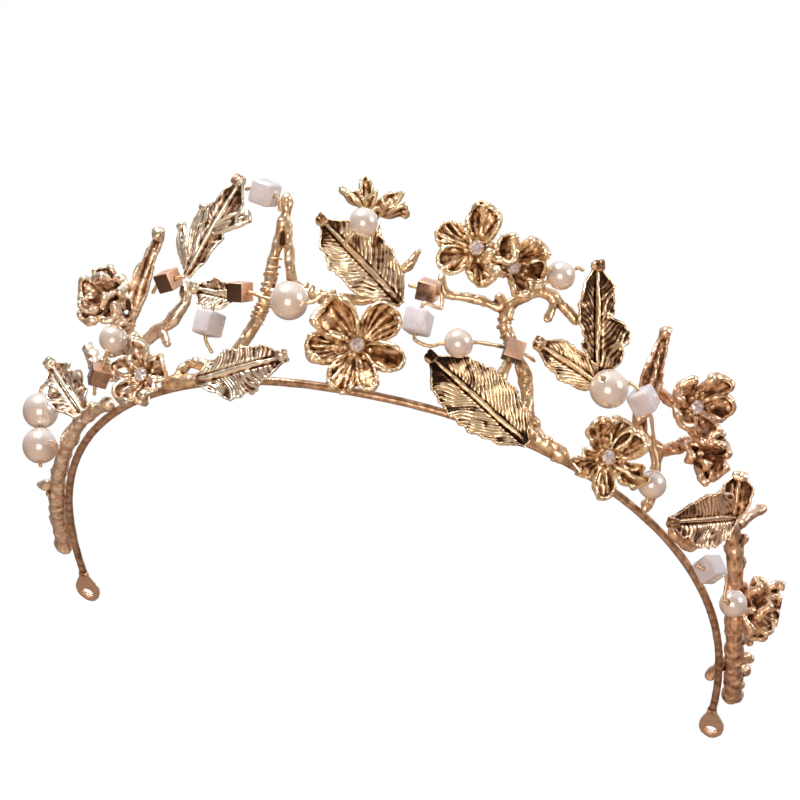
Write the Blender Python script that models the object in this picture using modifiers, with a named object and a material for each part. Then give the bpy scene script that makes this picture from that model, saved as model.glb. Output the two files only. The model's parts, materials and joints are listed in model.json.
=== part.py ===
"""Bridal tiara: a wire headband carrying cast branches, leaves and flowers, with pearls and cube beads
strung on thin wire. Metres, +Z up, the front faces -Y. It stands on its end eyelets and two front flowers."""

import math

import bmesh
import bpy
import numpy as np
from mathutils import Matrix, Vector

# Driving sizes, in metres and degrees
BAND_HALF_WIDTH = 0.0755
BAND_DEPTH = 0.086
BAND_SQUARENESS = 2.25
BAND_END = 97.5
BAND_WIRE = 0.0018
FRONT_LIFT = 0.0075
FLARE = 18.0
LARGE_PEARL = 0.008
SMALL_PEARL = 0.006
OPAL_CUBE = 0.005
METAL_CUBE = 0.004
BEAD_WIRE = 0.0006
CLEARANCE = 0.0003
LEAF_THICKNESS = 0.0008
PETAL_THICKNESS = 0.0007
STONE = 0.0027
EYELET_LENGTH = 0.0145
EYELET_WIDTH = 0.0058
EYELET_THICKNESS = 0.0012

# The band length that the stations below were laid out on, in millimetres each way from the front
LAID_OUT_ON = 143.8

GOLD = (0.52, 0.35, 0.17)
PALE_GOLD = (0.68, 0.49, 0.28)
WIRE_GOLD = (0.78, 0.62, 0.33)
PEARL = (0.93, 0.88, 0.82)
OPAL = (0.86, 0.85, 0.90)
COPPER = (0.55, 0.33, 0.20)
CLEAR = (0.92, 0.92, 0.95)


def clear_scene():
    for obj in list(bpy.data.objects):
        bpy.data.objects.remove(obj)


def collection(name, hidden=False):
    made = bpy.data.collections.new(name)
    made.hide_render = hidden
    bpy.context.scene.collection.children.link(made)
    return made


clear_scene()
PARTS = collection("bridal_tiara")
CUTTERS = collection("cutters", hidden=True)


# The hoop and the places on it

def hoop_point(angle):
    across = math.sin(math.radians(angle))
    along = math.cos(math.radians(angle))
    power = 2 / BAND_SQUARENESS
    x = BAND_HALF_WIDTH * math.copysign(abs(across) ** power, across)
    y = -BAND_DEPTH * math.copysign(abs(along) ** power, along)
    return x, y


def hoop_table():
    """Distance along the band from the front, and where it is, as arrays of length, x and y."""
    angles = np.linspace(-BAND_END, BAND_END, 1041)
    points = np.array([hoop_point(angle) for angle in angles])
    steps = np.linalg.norm(np.diff(points, axis=0), axis=1)
    length = np.concatenate([[0.0], np.cumsum(steps)])
    return length - length[-1] / 2, points[:, 0], points[:, 1]


LENGTHS, HOOP_X, HOOP_Y = hoop_table()
SCALE = LENGTHS[-1] * 1000 / LAID_OUT_ON
MM = 0.001 * SCALE
END_Y = HOOP_Y[-1]


def on_hoop(station):
    length = station * MM
    return float(np.interp(length, LENGTHS, HOOP_X)), float(np.interp(length, LENGTHS, HOOP_Y))


def outward(station):
    before = on_hoop(station - 0.6)
    after = on_hoop(station + 0.6)
    along = Vector((after[0] - before[0], after[1] - before[1], 0)).normalized()
    return Vector((along.y, -along.x, 0)), along


def spot(station, height, out):
    """The point at a station along the band, a height up the flare and a distance out, in millimetres."""
    x, y = on_hoop(station)
    normal, _ = outward(station)
    lean = math.radians(FLARE)
    rise = BAND_WIRE / 2 + FRONT_LIFT * (END_Y - y) / (END_Y + BAND_DEPTH)
    flat = out + height * math.sin(lean)
    return Vector((x, y, rise + height * math.cos(lean) * MM)) + normal * flat * MM


def facing(station, height, out, turn=0, tilt=0, spin=0, heel=0):
    """A frame at a spot: Z faces out and Y goes up the flare. Turn swings it along the band, tilt nods it up,
    heel leans it sideways and spin rolls it about its own face."""
    normal, along = outward(station)
    lean = math.radians(FLARE)
    up = (normal * math.sin(lean) + Vector((0, 0, math.cos(lean)))).normalized()
    face = along.cross(up)
    frame = Matrix((along, up, face)).transposed()
    sideways = Matrix.Rotation(math.radians(heel), 3, "Z")
    swing = Matrix.Rotation(math.radians(turn), 3, "Y")
    nod = Matrix.Rotation(math.radians(-tilt), 3, "X")
    roll = Matrix.Rotation(math.radians(spin), 3, "Z")
    return Matrix.Translation(spot(station, height, out)) @ (frame @ sideways @ swing @ nod @ roll).to_4x4()


# Building blocks

def material(name, colour, roughness, metallic):
    made = bpy.data.materials.new(name)
    made.use_nodes = True
    shader = made.node_tree.nodes["Principled BSDF"]
    shader.inputs["Base Color"].default_value = (*colour, 1)
    shader.inputs["Roughness"].default_value = roughness
    shader.inputs["Metallic"].default_value = metallic
    made.diffuse_color = (*colour, 1)
    return made


def keep(obj, colour, roughness=0.35, metallic=1.0):
    """Makes the object a part with its own material."""
    obj.data.materials.clear()
    obj.data.materials.append(material(obj.name, colour, roughness, metallic))
    PARTS.objects.link(obj)
    return obj


def mesh_object(name, shape, matrix=None, smooth=True):
    """An object made from a bmesh, which this frees."""
    mesh = bpy.data.meshes.new(name)
    shape.to_mesh(mesh)
    shape.free()
    mesh.shade_smooth() if smooth else mesh.shade_flat()
    obj = bpy.data.objects.new(name, mesh)
    if matrix is not None:
        obj.matrix_world = matrix
    return obj


def curve_object(name, splines, bevel=0.0, sides=2, closed=False, flat_half=0.0):
    """A curve object. Each spline is a list of (point, radius)."""
    curve = bpy.data.curves.new(name, "CURVE")
    curve.dimensions = "2D" if flat_half else "3D"
    curve.bevel_depth = bevel
    curve.bevel_resolution = sides
    if flat_half:
        curve.extrude = flat_half
        curve.fill_mode = "BOTH"
    else:
        curve.fill_mode = "FULL"
        curve.use_fill_caps = True
    for points in splines:
        spline = curve.splines.new("POLY")
        spline.points.add(len(points) - 1)
        spline.use_cyclic_u = closed
        for slot, (point, radius) in zip(spline.points, points):
            slot.co = (*point, 1)
            slot.radius = radius
    return bpy.data.objects.new(name, curve)


def as_mesh(curve, matrix=None):
    """The curve object as a closed mesh object, in place of the curve."""
    name = curve.name
    CUTTERS.objects.link(curve)
    bpy.context.view_layer.update()
    graph = bpy.context.evaluated_depsgraph_get()
    mesh = bpy.data.meshes.new_from_object(curve.evaluated_get(graph))
    bpy.data.objects.remove(curve)
    shape = bmesh.new()
    shape.from_mesh(mesh)
    bmesh.ops.remove_doubles(shape, verts=shape.verts, dist=0.00001)
    shape.to_mesh(mesh)
    shape.free()
    mesh.shade_smooth()
    obj = bpy.data.objects.new(name, mesh)
    if matrix is not None:
        obj.matrix_world = matrix
    return obj


def join(obj, others, operation="UNION"):
    """Adds the others to the object, or cuts them from it."""
    for other in others:
        CUTTERS.objects.link(other)
        other.display_type = "WIRE"
        other.hide_render = True
        modifier = obj.modifiers.new(operation.lower(), "BOOLEAN")
        modifier.operation = operation
        modifier.solver = "EXACT"
        modifier.object = other
    return obj


def eased(points, between=1):
    """The run of points with smooth ones put between them."""
    points = [Vector(point) for point in points]
    run = [points[0]]
    for i in range(len(points) - 1):
        before = points[max(i - 1, 0)]
        after = points[min(i + 2, len(points) - 1)]
        for step in range(1, between + 2):
            t = step / (between + 1)
            a = (after - points[i]) * 0.5 if i + 2 < len(points) else points[i + 1] - points[i]
            b = (points[i + 1] - before) * 0.5 if i > 0 else points[1] - points[0]
            h00 = 2 * t**3 - 3 * t**2 + 1
            h10 = t**3 - 2 * t**2 + t
            h01 = -2 * t**3 + 3 * t**2
            h11 = t**3 - t**2
            run.append(points[i] * h00 + b * h10 + points[i + 1] * h01 + a * h11)
    return run


def twig(name, places, thick, thin, between=1):
    """A tapering rod through (station, height, out) places."""
    run = eased([spot(*place) for place in places], between)
    last = len(run) - 1
    points = []
    for i, point in enumerate(run):
        swell = 1 + 0.10 * math.sin(i * 2.4)
        points.append((point, (thick + (thin - thick) * i / last) * swell * MM))
    return as_mesh(curve_object(name, [points], bevel=1.0, sides=1))


def knob(name, place, radius):
    shape = bmesh.new()
    bmesh.ops.create_uvsphere(shape, u_segments=8, v_segments=5, radius=radius * MM)
    return mesh_object(name, shape, Matrix.Translation(spot(*place)))


def turned(name, profile, steps, matrix):
    """A solid turned about Z from (radius, height) points running down the outside."""
    shape = bmesh.new()
    verts = [shape.verts.new((radius, 0, height)) for radius, height in profile]
    for first, second in zip(verts, verts[1:]):
        shape.edges.new((first, second))
    if profile[0][0] > 0:
        shape.edges.new((verts[-1], verts[0]))
    obj = mesh_object(name, shape, matrix)
    screw = obj.modifiers.new("turn", "SCREW")
    screw.steps = steps
    screw.render_steps = steps
    screw.use_merge_vertices = True
    screw.merge_threshold = 0.00001
    screw.use_normal_calculate = True
    return obj


def thicken(obj, thickness):
    solidify = obj.modifiers.new("thickness", "SOLIDIFY")
    solidify.thickness = thickness
    solidify.offset = 0
    solidify.use_even_offset = False
    return obj


# Leaves

CURL = 1.15


def width_at(widths, t):
    return float(np.interp(t, np.linspace(0, 1, len(widths)), widths))


def leaf_point(u, w, length, left, right, cup, arch):
    """A point of a leaf. U runs from base to tip, w from -1 at the right edge to 1 at the left."""
    body = 0.78
    if u < body:
        t = u / body
        middle = (t * (length - CURL), arch * math.sin(math.pi * t))
        face = (0.0, 1.0)
    else:
        t = 1.0
        bend = (u - body) / (1 - body) * math.radians(215)
        middle = (length - CURL + CURL * math.sin(bend), CURL * (1 - math.cos(bend)))
        face = (-math.sin(bend), math.cos(bend))
    half = width_at(left if w > 0 else right, t)
    if u >= body:
        half = max(half - (u - body) * 1.5, 0.75)
    rise = cup * half * abs(w) ** 1.5 if u < body else 0.0
    return Vector((middle[0] + face[0] * rise, w * half, middle[1] + face[1] * rise)) * MM


def leaf(name, base, tip, left, right, cup=0.25, arch=0.6, roll=0, rows=12):
    """A curled-tip leaf from base to tip, both (station, height, out), with its half widths on each side."""
    start = spot(*base)
    end = spot(*tip)
    ahead = (end - start).normalized()
    normal, _ = outward((base[0] + tip[0]) / 2)
    face = (normal * math.cos(math.radians(FLARE)) - Vector((0, 0, math.sin(math.radians(FLARE)))))
    face = (face - ahead * face.dot(ahead)).normalized()
    face = Matrix.Rotation(math.radians(roll), 3, ahead) @ face
    side = face.cross(ahead)
    matrix = Matrix.Translation(start) @ Matrix((ahead, side, face)).transposed().to_4x4()
    length = (end - start).length / MM
    shape = bmesh.new()
    bmesh.ops.create_grid(shape, x_segments=rows, y_segments=4, size=1)
    for vert in shape.verts:
        u = (vert.co.x + 1) / 2
        vert.co = leaf_point(u, vert.co.y, length, left, right, cup, arch)
    return thicken(mesh_object(name, shape, matrix), LEAF_THICKNESS * SCALE)


# Flowers and their stones

def petal_edge(angle, radius, notch):
    wave = abs(math.sin(2.5 * angle))
    return radius * (1 - notch * (1 - wave) ** 1.5)


def flower(name, matrix, radius, notch=0.3, bowl=0.2, cup=None, rings=2):
    """An open flower of five petals: a floor, a low rim that can hold a stone, and petals to the radius."""
    cup = cup or STONE * 500 + CLEARANCE * 1000 + 0.2
    shape = bmesh.new()
    bmesh.ops.create_grid(shape, x_segments=25, y_segments=rings + 3, size=1)
    for vert in shape.verts:
        angle = (vert.co.x + 1) * math.pi
        ring = round((vert.co.y + 1) / 2 * (rings + 3))
        if ring == 0:
            reach, rise = 0.0, 0.0
        elif ring == 1:
            reach, rise = cup, 0.0
        elif ring == 2:
            reach, rise = cup + 0.45, 0.9
        else:
            part = (ring - 2) / (rings + 1)
            edge = petal_edge(angle, radius, notch)
            reach = cup + 0.45 + (edge - cup - 0.45) * part
            rise = 0.9 + bowl * radius * part**2 - 0.5 * math.sin(math.pi * part)
            rise += 0.06 * radius * part**2 * math.cos(10 * angle)
        vert.co = Vector((reach * math.cos(angle), reach * math.sin(angle), rise)) * MM
    bmesh.ops.remove_doubles(shape, verts=shape.verts, dist=0.000001)
    bmesh.ops.recalc_face_normals(shape, faces=shape.faces)
    return thicken(mesh_object(name, shape, matrix), PETAL_THICKNESS * SCALE)


def stone(name, matrix):
    """A round brilliant, standing clear of the flower's floor."""
    radius = STONE / 2 * SCALE
    foot = (PETAL_THICKNESS / 2 + CLEARANCE) * SCALE
    profile = [
        (0, foot + radius * 1.05),
        (radius * 0.55, foot + radius * 1.05),
        (radius, foot + radius * 0.7),
        (radius * 0.45, foot),
        (0, foot),
    ]
    return turned(name, profile, 8, matrix)


# Beads and their wires

def hole_direction(place, axis):
    normal, along = outward(place[0])
    lean = math.radians(FLARE)
    up = normal * math.sin(lean) + Vector((0, 0, math.cos(lean)))
    return (along * axis[0] + up * axis[1] + normal * axis[2]).normalized()


class Bead:
    """A bead's kind, its place, its hole's axis and its spin. The place gives its back's distance out."""

    SIZES = {"large": LARGE_PEARL, "small": SMALL_PEARL, "opal": OPAL_CUBE, "metal": METAL_CUBE}

    def __init__(self, name, kind, place, axis, spin=0):
        self.name = name
        self.kind = kind
        self.size = self.SIZES[kind] * SCALE
        self.place = (place[0], place[1], place[2] + self.size / 2 / MM)
        self.centre = spot(*self.place)
        self.hole = hole_direction(self.place, axis)
        self.spin = spin

    def frame(self):
        turn = Vector((0, 0, 1)).rotation_difference(self.hole).to_matrix()
        roll = Matrix.Rotation(math.radians(self.spin), 3, "Z")
        return Matrix.Translation(self.centre) @ (turn @ roll).to_4x4()

    def build(self):
        if self.kind in ("large", "small"):
            return pearl(self.name, self.frame(), self.size)
        if self.kind == "opal":
            return cube(self.name, self.frame(), self.size, OPAL, 0.25, 0.0)
        return cube(self.name, self.frame(), self.size, COPPER, 0.18, 1.0)


def bore_radius():
    return (BEAD_WIRE / 2 + CLEARANCE) * SCALE


def pearl(name, matrix, size):
    radius = size / 2
    first = math.asin(bore_radius() / radius)
    arc = 7
    profile = []
    for i in range(arc):
        angle = first + (math.pi - 2 * first) * i / (arc - 1)
        profile.append((radius * math.sin(angle), radius * math.cos(angle)))
    return keep(turned(name, profile, 16, matrix), PEARL, 0.18, 0.0)


def cube(name, matrix, size, colour, roughness, metallic):
    shape = bmesh.new()
    bmesh.ops.create_cube(shape, size=size)
    obj = mesh_object(name, shape, matrix, smooth=False)
    bevel = obj.modifiers.new("bevel", "BEVEL")
    bevel.width = size * 0.07
    bevel.segments = 1
    hole = bmesh.new()
    bore = bore_radius()
    bmesh.ops.create_cone(hole, cap_ends=True, segments=10, radius1=bore, radius2=bore, depth=size * 1.5)
    join(obj, [mesh_object(name + "_bore", hole, matrix)], "DIFFERENCE")
    return keep(obj, colour, roughness, metallic)


def wire(name, run, straight=0.7):
    """The thin wire that beads are strung on. It goes from place to place and straight through each bead."""
    points = []
    for stop in run:
        if isinstance(stop, Bead):
            reach = stop.hole * (stop.size / 2 + straight * MM)
            points.append((stop.centre - reach, 1.0))
            points.append((stop.centre + reach, 1.0))
        else:
            points.append((spot(*stop), 1.0))
    obj = as_mesh(curve_object(name, [points], bevel=BEAD_WIRE / 2 * SCALE, sides=1))
    return keep(obj, WIRE_GOLD, 0.25, 1.0)


# The sub-parts

def eyelet(name, end):
    """A flattened, pierced end of the band, lying flat. End is -1 at the left, 1 at the right."""
    station = LAID_OUT_ON * end
    x, y = on_hoop(station)
    _, along = outward(station - 0.6 * end)
    ahead = Matrix.Rotation(math.radians(-6 * end), 3, "Z") @ (along * end)
    side = Vector((-ahead.y, ahead.x, 0))
    up = Vector((0, 0, 1))
    start = Vector((x, y, EYELET_THICKNESS / 2)) - ahead * 0.0012
    matrix = Matrix.Translation(start) @ Matrix((ahead, side, up)).transposed().to_4x4()
    half = EYELET_WIDTH / 2
    outline = [(0, 0.36), (0.17, 0.42), (0.34, 0.72), (0.5, 0.94)]
    outline += [(0.66, 1.0), (0.82, 0.84), (0.94, 0.5), (1.0, 0.16)]
    left = [(EYELET_LENGTH * u, half * w, 0) for u, w in outline]
    right = [(px, -py, 0) for px, py, _ in reversed(left)]
    hole = []
    for i in range(12):
        angle = i * math.pi / 6
        hole.append((EYELET_LENGTH * (0.70 + 0.15 * math.cos(angle)), half * 0.46 * math.sin(angle), 0))
    splines = [[(p, 1) for p in left + right], [(p, 1) for p in hole]]
    curve = curve_object(name, splines, closed=True, flat_half=EYELET_THICKNESS / 2)
    return as_mesh(curve, matrix)


def headband():
    points = []
    for i in range(45):
        station = LAID_OUT_ON * (i / 22 - 1)
        points.append((spot(station, 0, 0), 1.0))
    band = as_mesh(curve_object("headband", [points], bevel=BAND_WIRE / 2, sides=2))
    join(band, [eyelet("eyelet_left", -1), eyelet("eyelet_right", 1)])
    return keep(band, GOLD, 0.35, 1.0)


def branch(name, runs, knobs=(), extra=()):
    """A cast branch: tapering rods grown together, with knobs and any leaf cast with them."""
    rods = []
    for i, (places, thick, thin) in enumerate(runs):
        rods.append(twig(name if i == 0 else f"{name}_rod_{i}", places, thick, thin))
    for i, (place, radius) in enumerate(knobs):
        rods.append(knob(f"{name}_knob_{i}", place, radius))
    return keep(join(rods[0], rods[1:] + list(extra)), GOLD, 0.4, 1.0)


def branches():
    leaf_left = leaf(
        "branch_left_leaf", (-57.4, 18.5, 2.5), (-49.8, 33.5, 3.6),
        [1.0, 2.6, 2.4, 1.6, 1.1], [1.0, 1.8, 1.6, 1.2, 1.0], cup=0.6, roll=35,
    )
    leaf_right = leaf(
        "branch_right_leaf", (52.0, 14.4, 1.7), (48.6, 33.7, 3.0),
        [1.0, 2.4, 2.6, 1.8, 1.1], [1.0, 2.0, 2.2, 1.5, 1.0], cup=0.5, roll=-20,
    )
    branch(
        "branch_left_end",
        [
            ([(-66, 0.5, 2.4), (-76, 1.5, 2.5), (-86, 2, 2.4), (-97, 1.6, 2.5), (-108, 1.2, 2.6),
              (-119, 1.2, 2.8), (-128, 1.4, 2.8), (-135, 1.6, 3.2)], 1.15, 1.7),
            ([(-108, 1.2, 2.8), (-110, 1.2, 6.2)], 1.0, 1.0),
            ([(-127, 1.4, 2.8), (-130, 4.4, 4.6)], 1.1, 1.0),
            ([(-119, 1.2, 3.0), (-131, 0.6, 2.6)], 0.9, 0.9),
        ],
        [((-110, 1.2, 6.4), 1.6), ((-112, 0.8, 4.4), 1.5), ((-130, 4.6, 4.8), 1.6), ((-136, 2.0, 4.2), 1.8)],
    )
    branch(
        "branch_left",
        [
            ([(-57, 0.0, 2.4), (-60, 4.5, 2.0), (-58, 9.8, 1.6), (-52.8, 12, 1.4), (-47.5, 14.2, 1.4),
              (-44.2, 17.4, 1.4), (-44.6, 21.5, 1.4)], 1.15, 0.85),
            ([(-50.5, 12.8, 1.4), (-47.5, 9.0, 1.8)], 0.85, 0.7),
            ([(-60, 4.5, 2.0), (-65, 6.5, 2.2), (-70, 9.5, 2.6), (-74, 15.5, 3.0)], 0.95, 0.9),
            ([(-58.6, 9.0, 1.7), (-61.0, 13, 1.6), (-59.6, 17.0, 1.8), (-55.6, 21.5, 2.4)], 0.95, 0.8),
        ],
        [((-74.2, 16.0, 3.0), 1.5), ((-71.2, 11.4, 3.2), 1.5), ((-69.6, 8.4, 2.9), 1.3),
         ((-72.8, 13.4, 3.0), 1.3)],
        [leaf_left],
    )
    branch(
        "branch_centre_left",
        [
            ([(-46, -0.6, 2.7), (-38, -0.8, 2.7), (-32.1, 1.2, 2.0), (-29.5, 6.6, 1.4), (-26.8, 13, 1.2),
              (-25.7, 18.4, 1.2), (-25.2, 27, 1.4), (-24.2, 35.0, 1.6), (-24.6, 38.6, 1.8)], 1.25, 0.9),
            ([(-24.4, 34.0, 1.5), (-22.6, 27, 1.0), (-20.6, 20.8, 1.0), (-15, 18.0, 1.2), (-9.7, 18.2, 1.2),
              (-3.5, 19.6, 0.8), (0.2, 21.5, 0.8)], 0.95, 0.85),
            ([(-25.8, 17.0, 1.2), (-21.2, 20.2, 1.0)], 0.9, 0.9),
            ([(-30.5, 3.6, 1.7), (-37, 3.0, 1.4), (-42, 3.6, 1.4), (-43.5, -0.2, 2.6)], 0.8, 0.8),
            ([(-3.5, 19.6, 0.8), (-1.6, 24.5, 0.9), (0.9, 27.6, 1.2), (2.0, 30.4, 1.6)], 0.85, 0.65),
            ([(-3.2, 21.0, 0.8), (-5.4, 27, 0.8), (-6.2, 31.0, 1.2), (-6.9, 34.2, 1.6)], 0.8, 0.7),
        ],
        [((-40.0, 3.9, 1.5), 1.2), ((-12.5, 18.8, 1.5), 1.1)],
    )
    branch(
        "branch_centre_right",
        [
            ([(40, -0.4, 2.4), (35, 0.4, 2.2), (31.4, 3.0, 1.6), (29.5, 8, 1.2), (27.2, 13.1, 0.8),
              (23.5, 17.5, 0.8), (20.8, 21.2, 0.8), (21.6, 26, 1.0), (25.0, 29.4, 1.6), (29, 28.8, 1.6),
              (33.0, 26.8, 1.4)], 1.2, 0.9),
            ([(28.4, 29.2, 1.6), (28, 24.2, 2.4)], 0.75, 0.85),
            ([(24.4, 16.6, 0.8), (23.4, 11.5, 0.6), (23.8, 7.0, 0.6)], 0.8, 0.7),
            ([(21.2, 23.5, 0.9), (15, 24.0, 0.8), (9.0, 23.6, 0.8), (7.4, 26.4, 1.2)], 0.8, 0.8),
            ([(20.6, 22.5, 0.9), (18.6, 25.8, 0.8)], 0.9, 0.9),
        ],
        [((28, 24.0, 2.4), 1.1), ((32.2, 3.6, 1.9), 1.4)],
    )
    branch(
        "branch_right",
        [
            ([(51.6, 16.0, 1.6), (52.4, 13.2, 1.6), (55.2, 12.0, 1.6), (59, 12.6, 1.6), (62.2, 15, 1.6),
              (63.8, 17.6, 1.6)], 1.1, 1.0),
            ([(57.8, 12.4, 1.6), (60, 9, 1.5), (60.3, 6.0, 1.5), (62.2, 3, 1.8), (61.5, 0.2, 2.4)], 0.95, 0.95),
            ([(53.2, 13.6, 1.6), (52.2, 17.5, 1.2), (51.0, 21.0, 1.9), (54, 22.2, 1.5), (57, 22.4, 1.0)],
             0.9, 0.85),
        ],
        [((60.4, 7.4, 1.6), 1.3)],
        [leaf_right],
    )
    branch(
        "branch_right_end",
        [
            ([(83, 12.5, 1.2), (88, 12.8, 1.4), (93, 10.0, 1.8), (99, 6.6, 2.2), (105, 3.8, 2.6),
              (112, 1.6, 2.8), (121, 0.8, 3.0), (130, 1.0, 3.0), (138, 1.6, 2.9)], 1.4, 1.6),
            ([(88, 12.8, 1.4), (90, 18, 1.8), (92.4, 21.6, 1.8)], 0.9, 0.8),
            ([(71, 0.3, 2.4), (78, 2.0, 2.2), (82, 8, 1.5), (86.5, 12.8, 1.3)], 1.0, 0.95),
            ([(112, 1.6, 2.8), (117, 4.6, 3.4)], 1.2, 1.2),
            ([(121, 0.8, 3.0), (125, 3.2, 0.6), (131, 1.7, -2.6)], 0.9, 1.1),
        ],
        [((92.6, 22.2, 1.8), 1.4), ((128, 3.4, 4.2), 1.8), ((139.4, 2.4, 3.6), 1.7), ((96, 10.4, 2.2), 1.6),
         ((117.4, 5.2, 3.6), 1.8)],
    )


def leaves():
    """Half widths run from base to tip, left side first as seen with the tip up."""
    end = leaf(
        "leaf_left_end", (-72.6, -0.4, 4.9), (-84.2, 15.4, 8.1),
        [2.2, 4.2, 4.8, 3.4, 1.2], [2.0, 4.0, 5.0, 3.6, 1.2], cup=0.3, roll=30,
    )
    left_tall = leaf(
        "leaf_left_tall", (-43.0, 21.8, 3.2), (-32.4, 41.6, 4.2),
        [0.9, 3.4, 3.9, 2.2, 2.9, 1.6, 1.1], [0.9, 1.8, 3.2, 3.4, 4.8, 3.8, 1.1],
        cup=0.35, roll=9,
    )
    left_small = leaf(
        "leaf_left_small", (-31.4, 16.6, 2.2), (-41.4, 19.3, 3.0),
        [0.8, 3.4, 4.2, 3.4, 1.0], [0.8, 2.4, 2.8, 2.2, 1.0], cup=0.3,
    )
    centre_left = leaf(
        "leaf_centre_left", (-37.6, -2.2, 4.4), (-17.4, 3.0, 4.9),
        [0.9, 3.0, 4.6, 4.0, 3.4, 1.1], [0.9, 3.6, 6.2, 5.8, 3.4, 1.1],
    )
    centre = leaf(
        "leaf_centre", (1.6, 18.2, 3.0), (-16.8, 32.8, 4.6),
        [0.9, 4.0, 5.6, 5.6, 4.4, 1.1], [0.9, 4.6, 6.2, 6.6, 4.6, 1.1], cup=0.28,
    )
    centre_right = leaf(
        "leaf_centre_right", (32.0, -2.4, 4.2), (8.6, 9.0, 3.6),
        [0.9, 4.6, 6.6, 6.8, 5.4, 1.1], [0.9, 5.4, 6.8, 6.6, 5.0, 1.1],
    )
    pair_tall = leaf(
        "leaf_pair_right", (40.2, 16.0, 3.4), (32.4, 38.4, 4.2),
        [0.9, 2.6, 4.4, 4.6, 3.6, 1.1], [0.9, 5.4, 7.2, 4.4, 3.8, 1.1],
    )
    pair_short = leaf(
        "leaf_pair_right_short", (41.4, 15.6, 3.6), (26.6, 17.8, 4.2),
        [0.9, 3.4, 4.4, 3.6, 1.1], [0.9, 3.0, 3.8, 3.4, 1.1], cup=0.3,
    )
    end_broad = leaf(
        "leaf_pair_right_end", (83.5, 13.4, 4.0), (66.0, -0.6, 4.4),
        [0.9, 4.6, 6.2, 5.6, 3.6, 1.1], [0.9, 5.0, 6.6, 5.6, 3.6, 1.1],
    )
    end_petal = leaf(
        "leaf_pair_right_end_petal", (82.6, 12.2, 4.0), (78.2, 20.8, 3.4),
        [1.2, 2.6, 3.2, 3.2, 1.6], [1.2, 2.6, 3.2, 3.2, 1.6], cup=0.2, roll=-45,
    )
    for pale in (end, left_tall, left_small, join(pair_tall, [pair_short]), join(end_broad, [end_petal])):
        keep(pale, PALE_GOLD, 0.36)
    for gold in (centre_left, centre, centre_right):
        keep(gold, GOLD, 0.36)


# Where each flower that holds a stone is, which its stone shares
SEATS = {
    "low_left": facing(-50.8, 0.9, 4.6, turn=14, spin=10),
    "front": facing(-4.8, 7.6, 3.6, turn=2, spin=27),
    "low_right": facing(47.2, 2.5, 4.6, spin=34),
    "top": facing(12.6, 31.4, 5.6, turn=-4, tilt=4, spin=8),
    "top_under": facing(19.0, 30.8, 4.0, turn=12),
    "right": facing(60.2, 23.0, 3.4, turn=-6, spin=30),
}


def flowers():
    left = facing(-61.8, 20.6, 5.5, turn=22, spin=20)
    top = facing(-8.6, 37.0, 0.6, heel=-14, tilt=62, spin=18)
    right_end = facing(105.6, 6.4, 4.3, turn=-12, spin=20)
    right_low = facing(66.2, 15.2, 4.4, turn=-10, spin=50)
    keep(flower("flower_left", left, 6.8, notch=0.35, bowl=0.5, cup=1.0, rings=1), GOLD, 0.38)
    keep(flower("flower_low_left", SEATS["low_left"], 7.2, notch=0.35, bowl=0.35), GOLD, 0.38)
    keep(flower("flower_top", top, 7.8, notch=0.6, bowl=0.45, cup=0.9, rings=1), GOLD, 0.38)
    keep(flower("flower_front", SEATS["front"], 10.8, bowl=0.25), GOLD, 0.38)
    keep(flower("flower_low_right", SEATS["low_right"], 9.0, notch=0.35, bowl=0.3), GOLD, 0.38)
    keep(flower("flower_right_end", right_end, 7.4, bowl=0.35, cup=0.9, rings=1), GOLD, 0.38)
    upper = flower("flower_pair_top", SEATS["top"], 8.9, bowl=0.25)
    under = flower("flower_pair_top_under", SEATS["top_under"], 6.8, bowl=0.4, rings=1)
    keep(join(upper, [under]), GOLD, 0.38)
    side = flower("flower_pair_right", SEATS["right"], 7.6, bowl=0.45)
    low = flower("flower_pair_right_low", right_low, 5.6, bowl=0.5, cup=0.9, rings=1)
    keep(join(side, [low]), GOLD, 0.38)


def stones():
    for seat, matrix in SEATS.items():
        keep(stone("stone_" + seat, matrix), CLEAR, 0.05, 0.0)


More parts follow.
